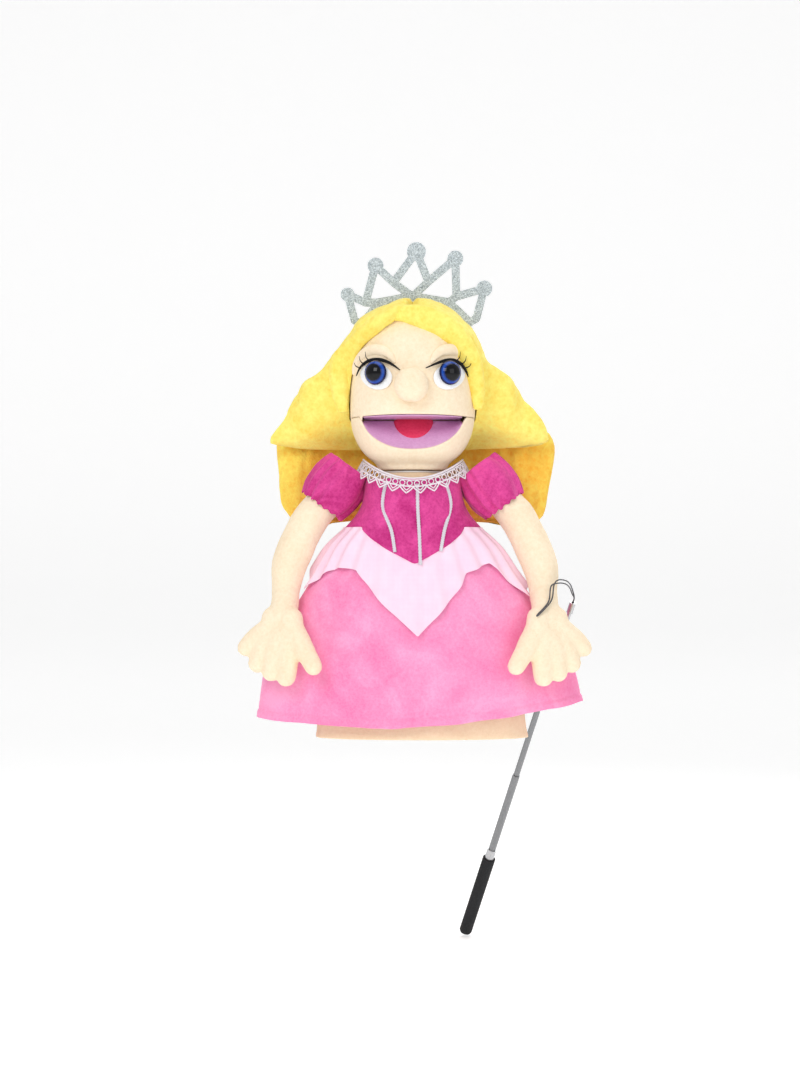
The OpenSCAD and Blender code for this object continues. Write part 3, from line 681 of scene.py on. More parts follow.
EYE_SPREAD = 36.5 * MM
EYE_TURN = math.radians(26)
for name, side in (("left", 1), ("right", -1)):
    low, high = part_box("eye_" + name)
    turn = EYE_TURN * side
    axis = Vector((math.sin(turn), -math.cos(turn), 0))
    radius = (high.z - low.z) / 2
    middle = face_point(hx + side * EYE_SPREAD, (low.z + high.z) / 2, 4 * MM)
    paint(frame["nodes"]["eye_" + name], eye_plastic("eye_blue_" + name, middle, axis, radius))
    paint(frame["nodes"]["eye_washer_" + name], washer_plastic)

    cx, cz = middle.x - side * 0.5 * MM, middle.z - 2 * MM
    rows = []
    for t in (0.05, 0.4, 0.7, 0.9, 1.0):
        row = []
        for k in range(40):
            a = 2 * math.pi * k / 40
            wide = 16 * MM * t
            tall = (11.5 if math.sin(a) > 0 else 14.5) * MM * t
            tilt = side * 0.16 * math.cos(a) * wide
            row.append(face_point(cx + wide * math.cos(a), cz + tall * math.sin(a) + tilt, 1.7 * MM))
        rows.append(row)
    white = paint(grid_piece("eye_white_felt_" + name, rows, closed=True, thickness=1.2 * MM), white_felt)
    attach(white, "head")
    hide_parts("eye_white_" + name)

    arc = [(22, 0), (19, 10), (12, 18.5), (3, 23), (-7, 22), (-14, 17), (-19, 9)]
    spots = [face_point(middle.x + side * x * MM, middle.z + z * MM, 0.4 * MM) for x, z in arc]
    path = curve_through(spots, 24)
    swell = [math.sin(math.pi * min(max(i / 24, 0.03), 0.97)) ** 0.6 for i in range(25)]
    widths = [max(0.6 * MM, 6.2 * MM * share) for share in swell]
    lid = paint(swept("eyelid_" + name + "_roll", path, widths, sides=14, flat=0.55), skin_fleece)
    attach(lid, "head")
    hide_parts("eyelid_" + name)

    brow = [(19, -2), (15, 6), (8, 11.5), (-1, 13), (-10, 11), (-18, 6.5), (-24, 2)] if side < 0 else \
        [(-24, 4), (-15, 8), (-6, 11.5), (3, 12.5), (11, 9), (16, 2), (18, -3)]
    if side < 0:
        brow = [(-x, z) for x, z in brow]
    line = curve_through([face_point(middle.x + x * MM, middle.z + z * MM, 3.4 * MM) for x, z in brow], 30)
    thick = [(0.45 + 1.3 * math.sin(math.pi * i / 30)) * MM for i in range(31)]
    liner = swept("liner", line, thick, sides=8, levels=0)
    parts = [liner]
    out = side
    for k, (start, tip) in enumerate((((14, 5), (21, 11)), ((10, 8), (16, 17)), ((5, 11), (10, 21)))):
        a = face_point(middle.x + out * start[0] * MM, middle.z + start[1] * MM, 3.6 * MM)
        b = face_point(middle.x + out * tip[0] * MM, middle.z + tip[1] * MM, 8 * MM)
        bend = (a + b) / 2 + Vector((out * 1.6 * MM, -1 * MM, -0.8 * MM))
        hair = curve_through([a, bend, b], 8)
        taper = [(0.75 - 0.075 * i) * MM for i in range(9)]
        parts.append(swept("lash_hair", hair, taper, sides=6, levels=0))
    joined(parts, "lashes_" + name)
    paint(liner, lash_thread)
    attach(liner, "head")
    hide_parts("lash_" + name)
print("face done")

# %% [markdown]
# The hair is a plush hood. Its bright upper layer starts at a parting, frames the face and flares into
# two wings. Each level of the hood is a crescent: an outer curve from the wing's silhouette, and an inner
# curve that hugs the head. Folds are pressed in afterwards with noise that is long along the hair.

# %% Hair hood
# Each row: height above the widest level, reach right, reach left, back depth, front turn in degrees and
# how far back the row's centre lies.
HOOD = [
    (-27, 146, 144, 58, -2, 22), (-20, 145, 144, 66, 4, 20), (-8, 134, 132, 70, 7, 16),
    (6, 119, 116, 73, 10, 12),
    (19, 105, 100, 74, 14, 9), (33, 92, 85, 74, 18, 6), (43, 84, 73, 74, 22, 4), (56, 74, 68, 72, 34, 2),
    (66, 67, 64, 68, 50, 1), (75, 60, 58, 63, 66, 0), (84, 52, 50, 56, 82, 0), (92, 38, 40, 45, 88, 0),
    (99, 22, 26, 30, 89.5, 0), (104, 8, 10, 14, 89.9, 0)]
HOOD_TURNS = 72


def hood_point(z, share, inner):
    right, left, back, front, centre = table(HOOD, (z - level) / MM)
    sweep = 180 + 2 * front
    a = math.radians(-front + sweep * share)
    side_reach = (left if math.cos(a) > 0 else right) * MM
    gap = 1.2 * MM
    inside = head_point(a, min(z, head_top - 1 * MM), gap, neck_wide)
    if z > head_top:
        inside = Vector((hx, 0, head_top + gap)).lerp(inside, 0.3)
    if inner:
        return Vector((inside.x, inside.y, min(z, head_top + gap)))
    deep = back * MM if math.sin(a) > 0 else min(back, 72) * MM
    x, y = super_point(a, side_reach, deep, 2.1)
    outside = Vector((hx + x, centre * MM * max(0.0, abs(math.cos(a))) + y, z))
    edge = min(share, 1 - share)
    roll = math.sin(min(edge / 0.06, 1.0) * math.pi / 2)
    return inside.lerp(outside, 0.03 + 0.97 * roll)


def hood_row(z):
    outer = [hood_point(z, k / HOOD_TURNS, False) for k in range(HOOD_TURNS + 1)]
    inner = [hood_point(z, k / HOOD_TURNS, True) for k in range(HOOD_TURNS, -1, -1)]
    return outer + inner


def hair_fold(p):
    long_fold = noise.noise(Vector((p.x / 0.020, p.y / 0.03, p.z / 0.085)))
    lock = noise.noise(Vector((p.x / 0.007 + 5, p.y / 0.012, p.z / 0.05)))
    tuft = noise.noise(p / 0.0045)
    away = min(max((abs(p.x - hx) - 60 * MM) / (50 * MM), 0.0), 1.0)
    return (2.0 + 5.0 * away) * MM * long_fold + (0.9 + 0.8 * away) * MM * lock + 0.5 * MM * tuft


hood_heights = [level + (h[0] + (n[0] - h[0]) * t) * MM for h, n in zip(HOOD, HOOD[1:]) for t in (0, 0.5)]
hood_heights.append(level + HOOD[-1][0] * MM)
hood = grid_piece("hair_hood", [hood_row(z) for z in hood_heights], closed=True, levels=1, caps=True)
for vertex in hood.data.vertices:
    out = min(max((abs(vertex.co.x - hx) - 60 * MM) / (80 * MM), 0.0), 1.0)
    low_share = min(max((level + 12 * MM - vertex.co.z) / (38 * MM), 0.0), 1.0)
    behind = min(max((vertex.co.y + 10 * MM) / (40 * MM), 0.0), 1.0)
    lift = 16 * (1 - out) ** 1.3 * (1 - behind) - 20 * (1 - out) * behind - 17 * out ** 1.5
    vertex.co.z += lift * MM * low_share ** 1.2
displaced(hood, hair_fold)
paint(hood, hair_plush)
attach(hood, "head")
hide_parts("hair_cap", "hair_side_left", "hair_side_right")
print("hood", len(hood.data.vertices))

# %% [markdown]
# Two rolls of plush run from the parting down each side of the brow. They are swept lobes, thickest at
# their middle, with the same folds as the hood.

# %% Fringe
FRINGE = {
    "left": ([(-26, 82), (-8, 84), (12, 80), (30, 72), (44, 60), (53, 46), (60, 30), (64, 10), (65, -10)],
             [4, 9, 12, 12, 11, 11, 10, 8, 4]),
    "right": ([(-18, 86), (-30, 80), (-44, 70), (-56, 58), (-66, 44), (-73, 28), (-72, 8), (-69, -12)],
              [5, 9, 11, 11, 11, 11, 9, 4])}
for name, (spots, widths) in FRINGE.items():
    route = [face_point(hx + x * MM, level + min(z, 86) * MM, 5.5 * MM) for x, z in spots]
    path = curve_through(route, 36)
    radii = [along(widths, i / 36) * MM for i in range(37)]
    lock = swept("hair_fringe_roll_" + name, path, radii, sides=22, flat=0.62)
    displaced(lock, lambda p: 0.55 * hair_fold(p))
    paint(lock, hair_plush)
    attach(lock, "head")
    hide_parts("hair_fringe_" + name)
print("fringe done")

# %% [markdown]
# Under the hood a second layer of the same plush hangs behind the shoulders and across the back, with
# painted shade: its colours are darker and more orange. It is one long curtain from wing to wing.

# %% Hair curtain
CURTAIN = [  # height above the widest level, reach, front depth, back depth
    (-124, 112, 52, 66), (-121, 122, 46, 70), (-108, 132, 38, 74), (-92, 138, 34, 78), (-70, 139, 32, 82),
    (-50, 141, 32, 84), (-32, 140, 34, 84), (-18, 126, 40, 78), (6, 96, 44, 72)]


def curtain_point(z, share, front):
    wide, near, far = table(CURTAIN, (z - level) / MM)
    u = 2 * share - 1
    bow = 1 - abs(u) ** 2.6
    side_round = math.sqrt(max(0.0, 1 - abs(u) ** 6))
    middle = near + (far - near) * 0.5 + 12 * bow * (1 if z > level - 110 * MM else 0.8)
    thick = max(2.0, ((far - near) * 0.42 - 9 * bow) * side_round)
    y = middle + (-thick if front else thick)
    low_share = min(max(((level - z) / MM - 60) / 64, 0.0), 1.0)
    lift = (28 if front else 10) * MM * (1 - min(abs(u) / 0.92, 1.0) ** 2.2) * low_share
    return Vector((hx + u * wide * MM, y * MM, z + lift))


curtain_rows = []
for z in [level + v * MM for v in (-124, -121, -114, -106, -96, -84, -72, -60, -48, -36, -26, -18, -8, 4)]:
    back_line = [curtain_point(z, k / 60, False) for k in range(60, -1, -1)]
    front_line = [curtain_point(z, k / 60, True) for k in range(61)]
    curtain_rows.append(front_line + back_line)
curtain = grid_piece("hair_curtain", curtain_rows, closed=True, levels=1, caps=True)
displaced(curtain, lambda p: 1.2 * hair_fold(p))
# The curtain gets the plush with painted shade.
paint(curtain, hair_plush_painted_shade)
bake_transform(curtain)
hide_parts("hair_wing_left", "hair_wing_right", "hair_back")
paint(frame["nodes"]["crown"], crown_glitter)
print("curtain", len(curtain.data.vertices))

# %% [markdown]
# The body has four layers: a fleece tube for the hand, a stiff velvet bodice, a full velvet skirt and a
# satin peplum. They share tables of sections, so that each layer lies just outside the one below.

# %% Body sections
bodice_low, bodice_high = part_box("bodice")
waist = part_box("skirt")[1].z
bx = -4 * MM
WIDE = [(0, 107, 42), (50, 101.5, 41), (104, 95, 40), (156, 79, 39), (208, 62, 38)]
hem_wide = (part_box("skirt_hem")[1].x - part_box("skirt_hem")[0].x) / 2 / MM
hem_deep = (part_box("skirt_hem")[1].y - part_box("skirt_hem")[0].y) / 2 / MM
SKIRT = [(0, hem_wide + 2, hem_deep), (20, hem_wide - 2, hem_deep - 1.3), (62.4, 158, 54), (89.4, 150, 51),
         (110.2, 138, 49.6), (137.3, 118, 47.8), (164.3, 100, 46), (190, 86, 44.6), (201, 76, 43.8),
         (208, 67.4, 43.4)]


def skirt_point(a, z, off):
    wide, deep = table(SKIRT, z / MM)
    share = min(z / waist, 1.0)
    x, y = super_point(a, wide * MM + off, deep * MM + off, 1.7 + 0.3 * share)
    return Vector(((5 - 9 * share) * MM + x, y, z))


def hem_height(a):
    c = math.cos(a)
    return (14 + 14 * c * c + 8 * c) * MM


def gather(a, z, count, depth):
    """Soft vertical folds, deepest at the hem and gone at the waist."""
    fall = 1 - min(z / waist, 1.0)
    wave = math.sin(count * a + 0.7 * math.sin(2 * a)) + 0.5 * math.sin(count * 1.7 * a + 1.3)
    return depth * fall * (wave - 0.9)


print("waist", round(waist, 4), "hem half width", round(hem_wide, 1), "mm")

# %% [markdown]
# The hand goes up a flat fleece tube. A tuck runs round it just above its lower edge, and a seam runs up
# the front.

# %% Hand sleeve
sleeve_rows = []
for z in [v * MM for v in (0, 1.5, 4, 8, 20, 40, 70, 100, 130, 160, 190, 207)]:
    wide, deep = table(WIDE, z / MM)
    centre = (5 - 9 * z / waist) * MM
    tuck = 0.8 * MM * math.exp(-((z - 8 * MM) / (1.2 * MM)) ** 2)
    row = []
    for a in turns:
        seam = 1.2 * MM * math.exp(-((a - 1.5 * math.pi) / 0.03) ** 2)
        soft = 0.9 * MM * math.sin(7 * a + 1) * (1 - z / waist)
        row.append(Vector((centre + (wide * MM - tuck - seam - abs(soft)) * math.cos(a),
                           (deep * MM - tuck - seam - abs(soft)) * math.sin(a), z)))
    sleeve_rows.append(row)
sleeve = grid_piece("hand_sleeve", sleeve_rows, closed=True, thickness=2 * MM)
paint(sleeve, sleeve_fleece)
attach(sleeve, "torso")
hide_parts("body_sleeve")
declare_sheet(sleeve_rows, True)
paint(frame["nodes"]["chest_padding"], foam_cell)
paint(frame["nodes"]["neck_tube"], sleeve_fleece)
paint(frame["nodes"]["neck_cuff"], tape_cloth)

# %% [markdown]
# The skirt is cut full and gathered at the waist. A stitched hem facing turns its lower edge, so the edge
# is a little thicker and a groove runs just above it.

# %% Skirt with its hem
skirt_rows = []
SKIRT_STEPS = (0, 0.006, 0.02, 0.038, 0.046, 0.056, 0.09, 0.16, 0.24, 0.33, 0.42, 0.52, 0.62, 0.72,
               0.82, 0.91, 1.0)
for t in SKIRT_STEPS:
    row = []
    for k in range(144):
        a = 2 * math.pi * k / 144
        z = hem_height(a) + (waist - hem_height(a)) * t
        lip = 0.7 * MM if t < 0.04 else (-0.7 * MM if t < 0.05 else 0.0)
        p = skirt_point(a, z, lip + gather(a, z, 9, 1.5 * MM) - 0.2 * MM)
        row.append(p)
    skirt_rows.append(row)
skirt = grid_piece("velvet_skirt", skirt_rows, closed=True, thickness=1.6 * MM)
displaced(skirt, lambda p: 0.9 * MM * ripple(p, 0.035) + 0.35 * MM * ripple(p, 0.012, 4))
paint(skirt, skirt_velvet)
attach(skirt, "torso")
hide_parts("skirt", "skirt_hem")
declare_sheet(skirt_rows, True)

# %% [markdown]
# The bodice ends in a V below the waist. Its sections start on the skirt there and follow the chest above.

# %% Bodice
CHEST = [(208, 67.5, 43.5), (209, 65.6, 41.7), (222, 53.6, 44.5), (234, 47.6, 45.2), (258, 45.6, 45.6)]
point_drop = waist + 1.4 * MM - bodice_low.z


def bodice_edge(a):
    rise = max(0.0, 1 - 1.35 * abs(math.cos(a))) if math.sin(a) < 0 else 0.0
    tail = 4 * MM * min(max(math.sin(a) * 3, 0.0), 1.0)
    return waist + 1.4 * MM - point_drop * rise - tail


def torso_point(a, z, off):
    if z < waist:
        return skirt_point(a, z, off)
    wide, deep = table(CHEST, z / MM)
    x, y = super_point(a, wide * MM + off, deep * MM + off, 2)
    return Vector((bx + x, y, z))


bodice_rows = []
for t in (0, 0.015, 0.04, 0.12, 0.22, 0.34, 0.46, 0.58, 0.7, 0.82, 0.92, 1.0):
    row = []
    for k in range(120):
        a = 2 * math.pi * k / 120
        top = bodice_high.z - (6 * MM * math.sin(a) if math.sin(a) > 0 else 0)
        z = bodice_edge(a) + (top - bodice_edge(a)) * t
        pull = 0.5 * MM * math.sin(26 * a) * (1 - t) * max(0.0, -math.sin(a))
        row.append(torso_point(a, z, 2.9 * MM + pull))
    bodice_rows.append(row)
bodice = grid_piece("velvet_bodice", bodice_rows, closed=True, thickness=1.8 * MM)
displaced(bodice, lambda p: 0.5 * MM * ripple(p, 0.02))
paint(bodice, bodice_velvet)
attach(bodice, "torso")
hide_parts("bodice")
declare_sheet(bodice_rows, True)

# %% [markdown]
# The peplum's three petals are gathered into the bodice's V, so their folds fan out from the seam and
# their edges lift away from the skirt. A table gives the length of the petals at each angle.

# %% Peplum petals
peplum_rows = []
PETAL_STEPS = (0, 0.05, 0.15, 0.3, 0.45, 0.6, 0.75, 0.88, 0.96, 1.0)
PETAL_TIPS = [(180, 34), (196, 62), (214, 44), (236, 34), (270, 72), (300, 34), (318, 36), (338, 70),
              (352, 56), (360, 34)]
for t in PETAL_STEPS:
    row = []
    for k in range(181):
        degrees = 180 + k
        a = math.radians(degrees)
        length = table(PETAL_TIPS, degrees)[0] * MM
        start = bodice_edge(a) + 1 * MM
        z = start - length * t
        frill = math.sin(math.radians(degrees) * 26 + 0.8 * math.sin(math.radians(degrees) * 5))
        lift = (1.6 + 3.4 * t) * MM + 2.3 * MM * frill * (0.35 + 0.65 * t)
        row.append(skirt_point(a, z, max(0.7 * MM, lift)))
    peplum_rows.append(row)
peplum = grid_piece("satin_peplum", peplum_rows, thickness=0.7 * MM)
paint(peplum, petal_satin)
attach(peplum, "torso")
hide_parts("peplum")
declare_sheet(peplum_rows, False)

# %% [markdown]
# Three silver braids run down the bodice. A braid is a flat plait, so its width swells and shrinks along
# its length and its edge is scalloped.

# %% Braids
BRAIDS = {"left": [(23, 186), (26.5, 206), (33, 232), (28, 253)],
          "centre": [(3, 172.5), (2, 200), (0.5, 226), (0, 252)],
          "right": [(-22, 185), (-25.5, 206), (-34, 230), (-31, 253)]}
braid_metal = cloth("braid_metal", (206, 202, 214), (250, 247, 252),
                    group=WEAVE, values={"Threads": 4200}, rough=0.4,
                    bump=0.6, depth=0.0004, sheen=0.1)


def on_bodice(x, z, off):
    if z < waist:
        share = z / waist
        wide, deep = table(SKIRT, z / MM)
        u = abs(x - (5 - 9 * share) * MM) / (wide * MM + off)
        power = 1.7 + 0.3 * share
    else:
        wide, deep = table(CHEST, z / MM)
        u = abs(x - bx) / (wide * MM + off)
        power = 2.0
    return Vector((x, -(deep * MM + off) * (1 - min(u, 0.99) ** power) ** (1 / power), z))


for name, spots in BRAIDS.items():
    path = curve_through([on_bodice(x * MM, z * MM, 3.4 * MM) for x, z in spots], 60)
    widths = [1.5 * MM if i % 2 else 1.85 * MM for i in range(61)]
    braid = swept("silver_braid_" + name, path, widths, sides=10, flat=0.42, levels=0)
    paint(braid, braid_metal)
    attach(braid, "torso")
    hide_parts("braid_" + name)
    print(braid.name, len(braid.data.polygons), "faces")

# %% [markdown]
# A band of cotton lace rings the neck. It is made of real threads and holes: a row of eyelets between two
# cords, with pointed scallops hanging from it.

# %% Lace collar
LACE_EYELETS = 46


def lace_point(a, down):
    """A point of the collar: down is 0 at the neck and 1 at the tip of a scallop."""
    lift = 17 * MM * abs(math.cos(a)) ** 2 - (3 * MM if math.sin(a) < 0 else 0) * abs(math.sin(a))
    wide = (49.5 + 8.5 * down) * MM
    deep = (47.5 + 8.5 * down) * MM
    return Vector((bx + wide * math.cos(a), deep * math.sin(a), waist + 53 * MM + lift - 15 * MM * down))


lace_parts = []


def lace_cord(points, radius, closed=True, sides=6):
    rows = []
    count = len(points)
    for i, centre in enumerate(points):
        before = points[i - 1] if (closed or i) else points[0]
        after = points[(i + 1) % count] if (closed or i < count - 1) else points[-1]
        ahead = (after - before).normalized()
        across = ahead.cross(Vector((0, 0, 1)))
        across = across.normalized() if across.length > 0.2 else ahead.cross(Vector((0, 1, 0))).normalized()
        lift = ahead.cross(across)
        rows.append([centre + radius * (across * math.cos(2 * math.pi * k / sides)
                                        + lift * math.sin(2 * math.pi * k / sides)) for k in range(sides)])
    points_flat = [p for row in rows for p in row]
    faces = []
    for i in range(count if closed else count - 1):
        for k in range(sides):
            a, b = i * sides, ((i + 1) % count) * sides
            faces.append((a + k, a + (k + 1) % sides, b + (k + 1) % sides, b + k))
    part = new_piece("lace_part", points_flat, faces)
    lace_parts.append(part)
    return part


ring = [2 * math.pi * k / 180 for k in range(180)]
lace_cord([lace_point(a, 0.02) for a in ring], 1.0 * MM)
lace_cord([lace_point(a, 0.14) for a in ring], 0.7 * MM)
lace_cord([lace_point(a, 0.56) for a in ring], 0.8 * MM)
for k in range(LACE_EYELETS):
    a = 2 * math.pi * k / LACE_EYELETS
    step = 2 * math.pi / LACE_EYELETS
    heart = []
    for i in range(12):
        t = 2 * math.pi * i / 12
        heart.append(lace_point(a + step * 0.36 * math.cos(t), 0.35 + 0.17 * math.sin(t)))
    lace_cord(heart, 0.62 * MM, sides=5)
SCALLOPS = 26
SCALLOP_TOP = 0.58
for k in range(SCALLOPS):
    a = 2 * math.pi * k / SCALLOPS
    step = math.pi / SCALLOPS
    for share, depth, thick in ((1.0, 1.0, 0.75), (0.55, 0.82, 0.6)):
        edge = []
        for i in range(17):
            across = i / 8 - 1
            down = SCALLOP_TOP + (depth - SCALLOP_TOP) * (1 - abs(across)) ** 0.8
            edge.append(lace_point(a + step * share * across, down))
        lace_cord(edge, thick * MM, closed=False, sides=5)
lace = apply_modifiers(joined(lace_parts, "lace_collar_thread"))
paint(lace, lace_thread)
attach(lace, "torso")
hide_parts("lace_collar")
print(lace.name, len(lace_parts), "threads")

# %% [markdown]
# A strip of tape closes the bodice at the back.

# %% Closure tape at the back
tape_low, tape_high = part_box("closure_tape")
tape_y = CHEST[3][2] * MM + 5.4 * MM
tape_rows = []
for j in range(15):
    z = tape_low.z + (tape_high.z - tape_low.z) * j / 14
    y = tape_y + 0.3 * MM * math.sin(j * 2.0)
    tape_rows.append([Vector((tape_low.x + (tape_high.x - tape_low.x) * i / 8, y, z)) for i in range(9)])
tape = grid_piece("closure_tape_strip", tape_rows, thickness=1.0 * MM, levels=1)
paint(tape, tape_cloth)
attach(tape, "torso")
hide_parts("closure_tape")
declare_sheet(tape_rows, False)
print("trim done")

# %% [markdown]
# A puff sleeve is a short tube gathered at both ends, so deep folds run along it and it swells in between.
# It joins the bodice to the upper arm.

# %% Puff sleeves
for name, side in (("left", 1), ("right", -1)):
    low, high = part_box("puff_sleeve_" + name)
    centre = (low + high) / 2
    tilt = math.radians(36) * side
    down = Vector((math.sin(tilt), 0, -math.cos(tilt)))
    across = Vector((math.cos(tilt), 0, math.sin(tilt)))
    rows = []
    for t in (0, 0.05, 0.12, 0.22, 0.34, 0.46, 0.58, 0.7, 0.8, 0.88, 0.94, 1.0):
        row = []
        swell = math.sin(math.pi * min(max(t, 0.02), 0.97)) ** 0.55
        for k in range(96):
            a = 2 * math.pi * k / 96
            fold = math.sin(11 * a + 2.2 * math.sin(3 * a) + side) * (1.1 - 0.5 * swell)
            radius = (20.5 + 8.2 * swell + 2.3 * fold) * MM
            frill = 1.2 * MM * math.sin(17 * a) * (t ** 6)
            row.append(centre + down * ((t - 0.5) * 50 * MM + frill) + across * (radius * math.cos(a))
                       + Vector((0, radius * math.sin(a), 0)))
        rows.append(row)
    puff = grid_piece("puff_sleeve_cloth_" + name, rows, closed=True, thickness=1.6 * MM)
    displaced(puff, lambda p: 1.0 * MM * ripple(p, 0.014, 7))
    paint(puff, bodice_velvet)
    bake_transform(puff)
    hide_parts("puff_sleeve_" + name)
    declare_sheet(rows, True)
print("puffs done")

# %% [markdown]
# An arm is two fleece panels sewn and stuffed: a soft tube that ends in a plump hand. Its parts are drawn
# as overlapping balls along each bone, joined by a voxel remesh and smoothed, which gives the soft webs
# between the fingers.

# %% Stuffed arms and hands
def ball(points, faces, centre, radius, rings=10, sides=16):
    start = len(points)
    for i in range(rings + 1):
        b = math.pi * i / rings
        for k in range(sides):
            a = 2 * math.pi * k / sides
            outward = Vector((math.sin(b) * math.cos(a), math.sin(b) * math.sin(a), math.cos(b)))
            points.append(centre + radius * outward)
    for i in range(rings):
        for k in range(sides):
            p, q = start + i * sides, start + (i + 1) * sides
            faces.append((p + k, q + k, q + (k + 1) % sides, p + (k + 1) % sides))


def stuffed(name, chains, voxel, smooth_steps):
    points, faces = [], []
    for route, radii in chains:
        count = max(4, int(run_length(route) / (3.2 * MM)))
        path = curve_through(route, count)
        for i, centre in enumerate(path):
            ball(points, faces, centre, along(radii, i / count) * MM)
    piece = new_piece(name, points, faces)
    remesh = piece.modifiers.new("skin", "REMESH")
    remesh.mode = "VOXEL"
    remesh.voxel_size = voxel
    relax = piece.modifiers.new("relax", "SMOOTH")
    relax.factor = 0.6
    relax.iterations = smooth_steps
    return apply_modifiers(piece)


joint = {j["name"]: j for j in frame["joints"]}
for name, side in (("left", 1), ("right", -1)):
    shoulder = Vector(joint["shoulder_%s_raise" % name]["pos_m"])
    elbow = Vector(joint["elbow_%s_bend" % name]["pos_m"])
    palm = Vector((elbow.x + side * 10 * MM, -37 * MM, waist - 98 * MM))
    wrist = Vector((elbow.x + side * 8 * MM, -16 * MM, waist - 58 * MM))
    bend_out = Vector((side * 3 * MM, 0, 4 * MM))
    arm = stuffed("arm_skin_" + name, [
        ([shoulder + Vector((side * 3 * MM, 0, -2 * MM)), (shoulder + elbow) / 2 + bend_out,
          elbow + Vector((-side * 1 * MM, 0, 0)),
          (elbow + wrist) / 2 + Vector((side * 2 * MM, 0, 0)), wrist, wrist.lerp(palm, 0.5)],
         [17, 18.5, 19, 18, 14.5, 13.6])], 2.4 * MM, 6)
    displaced(arm, lambda p: 0.9 * MM * ripple(p, 0.02, side * 3) + 0.25 * MM * ripple(p, 0.006))
    paint(arm, skin_fleece)
    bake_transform(arm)
    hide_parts("upper_arm_" + name, "forearm_" + name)

    def at(x, y, z):
        return palm + Vector((side * x * MM, y * MM, z * MM))

    hand = stuffed("hand_skin_" + name, [
        ([wrist, at(0, 4, 14), at(2, 2, -4)], [13, 14, 13]),
        ([at(-8, -4, 10), at(-10, -7, -8)], [12, 12]),
        ([at(10, 6, 10), at(14, 6, -8)], [12, 12]),
        ([at(12, 5, 0), at(26, 8, -10), at(37, 8, -19)], [13, 11.6, 9]),
        ([at(8, 2, -6), at(18, 2, -20), at(25, 1, -34)], [13, 11.8, 9.6]),
        ([at(2, -2, -8), at(7, -5, -24), at(11, -7, -42)], [13, 11.8, 9.8]),
        ([at(-4, -5, -8), at(-5, -10, -27), at(-4, -13, -47)], [13, 11.4, 9.4]),
        ([at(-8, -6, 2), at(-18, -14, -14), at(-31, -24, -36)], [12.5, 11, 8.8])], 1.9 * MM, 5)
    displaced(hand, lambda p: 0.5 * MM * ripple(p, 0.012, side * 5) + 0.2 * MM * ripple(p, 0.005))
    paint(hand, skin_fleece)
    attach(hand, "forearm_" + name)
    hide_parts("hand_" + name)
    print("arm", name, len(arm.data.vertices), len(hand.data.vertices))

# %% [markdown]
# The rod is three steel tubes that slide into each other, a bright ferrule and a foam grip. Their shapes
# are exact in the frame, so they only need their finishes. The wrist clip is one wire bent into a hairpin:
# a smooth tube follows the frame's bends.

# %% Rod and wrist clip
for name in ("tip_crimp", "tube_inner", "ferrule"):
    paint(frame["nodes"][name], steel_bright)
for name in ("tube_mid", "tube_outer"):
    paint(frame["nodes"][name], steel_grey)
for name in ("grip", "grip_cap"):
    paint(frame["nodes"][name], foam_black)

left_wrist = Vector(joint["elbow_left_bend"]["pos_m"]) + Vector((8 * MM, -8 * MM, -38 * MM))
rod_top = Vector(joint["rod_swing"]["pos_m"])
turn_round = [Vector((-6, -37, -25)), Vector((5, -28, -13)), Vector((8, -21.5, 2)), Vector((14, -18, 6)),
              Vector((22, -9, 5)), Vector((27, 2, 1)), Vector((30, 11, -5))]
legs = []
for s in (1, -1):
    leg = []
    for i, v in enumerate(turn_round):
        apart = Vector((1.5, 0, 0.7)) if i < 3 else Vector((0.3, 0, 1.6))
        leg.append(left_wrist + (v + s * apart) * MM)
    leg.append(rod_top + Vector((0.2, -0.4, 1.2 + 0.5 * s)) * MM)
    leg.append(rod_top + Vector((-1.5 + 0.5 * s, 2.7, -5.2)) * MM)
    legs.append(leg)
tip = left_wrist + (turn_round[0] + Vector((-2, -0.5, -2.2))) * MM
wire = curve_through(list(reversed(legs[0])) + [tip] + legs[1], 150)
WIRE_RADIUS = 0.75 * MM
clip = swept("clip_wire", wire, [WIRE_RADIUS] * len(wire), sides=10, up=Vector((0.31, -0.9, 0.29)), levels=1)
paint(clip, wire_dark)
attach(clip, "forearm_left")
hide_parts("wrist_clip")
print("rod done")

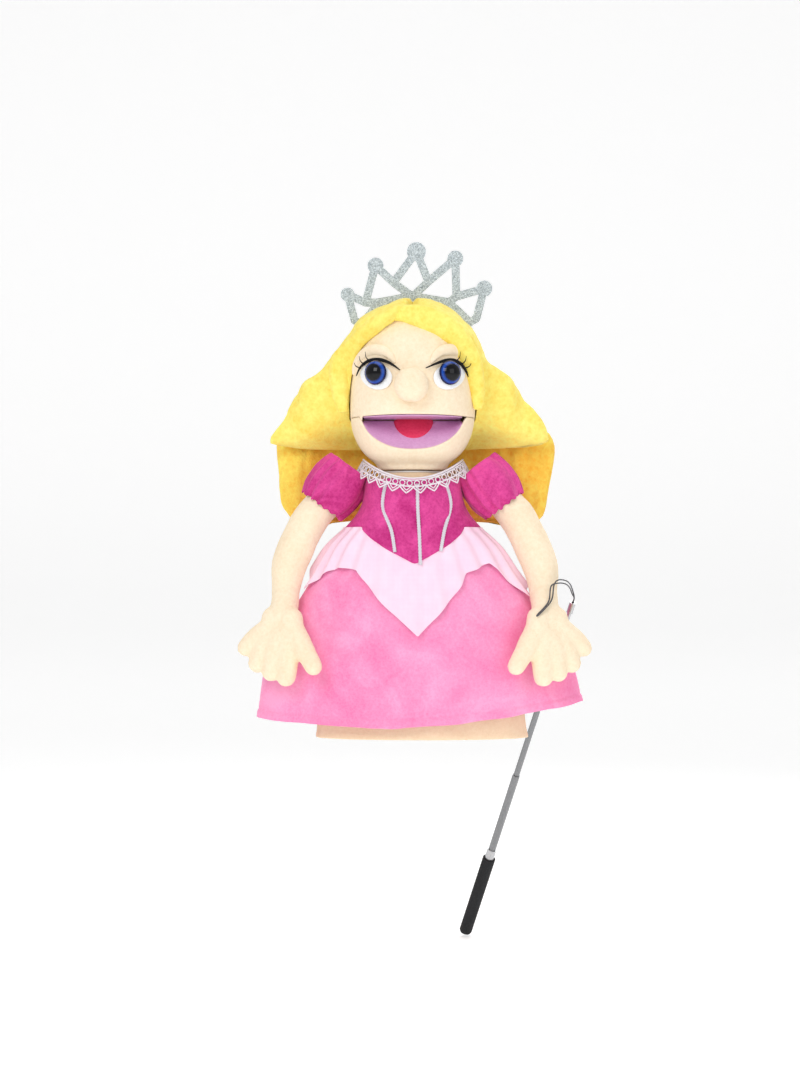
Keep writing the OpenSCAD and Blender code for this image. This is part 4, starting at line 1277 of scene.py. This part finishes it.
# %% [markdown]
# The stage is a pale, faintly glowing sweep lit by large soft lights, as a shop picture is. The camera
# stands level with the middle of the puppet, a little over two metres away.

# %% Stage, lights and camera
floor_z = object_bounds()[0][2] - 2 * MM
floor_rows = []
for y, z in ((-5, 0), (-2, 0), (2, 0), (3.8, 0), (4.4, 0.2), (4.7, 0.9), (4.8, 2.4), (4.8, 6)):
    floor_rows.append([Vector((x, y, floor_z + z)) for x in (-6, -3, 0, 3, 6)])
floor = grid_piece("floor_sweep", floor_rows, levels=2)
paper, _, paper_shader = shader_of("paper")
paper_shader.inputs["Base Color"].default_value = (0.96, 0.96, 0.96, 1)
paper_shader.inputs["Roughness"].default_value = 0.9
paper_shader.inputs["Emission Color"].default_value = (1, 1, 1, 1)
paper_shader.inputs["Emission Strength"].default_value = 0.3
paint(floor, paper)


def soft_light(name, place, target, size, watts):
    lamp = bpy.data.lights.new(name, "AREA")
    lamp.shape = "SQUARE"
    lamp.size = size
    lamp.energy = watts
    light = bpy.data.objects.new(name, lamp)
    light.location = place
    light.rotation_euler = (Vector(target) - Vector(place)).to_track_quat("-Z", "Y").to_euler()
    bpy.context.scene.collection.objects.link(light)
    return light


soft_light("key", (-0.9, -1.9, 1.35), (0, 0, 0.2), 1.1, 17)
soft_light("fill", (1.3, -1.7, 0.8), (0, 0, 0.15), 1.4, 7)
soft_light("top", (0.1, -0.1, 1.9), (0, 0, 0.2), 1.2, 8)
soft_light("back", (0.6, 0.95, 1.1), (0, 0, 0.3), 0.8, 6)
world = bpy.data.worlds.new("studio")
world.use_nodes = True
world.node_tree.nodes["Background"].inputs[0].default_value = (1, 1, 1, 1)
world.node_tree.nodes["Background"].inputs[1].default_value = 0.5
bpy.context.scene.world = world
bpy.context.scene.view_settings.view_transform = "Standard"

lens = bpy.data.cameras.new("camera")
lens.lens = 72.5
lens.sensor_width = 36
camera = bpy.data.objects.new("camera", lens)
camera.location = (-0.017, -2.2, 0.191)
camera.rotation_euler = (math.radians(90), 0, 0)
bpy.context.scene.collection.objects.link(camera)
bpy.context.scene.camera = camera
print("stage ready")
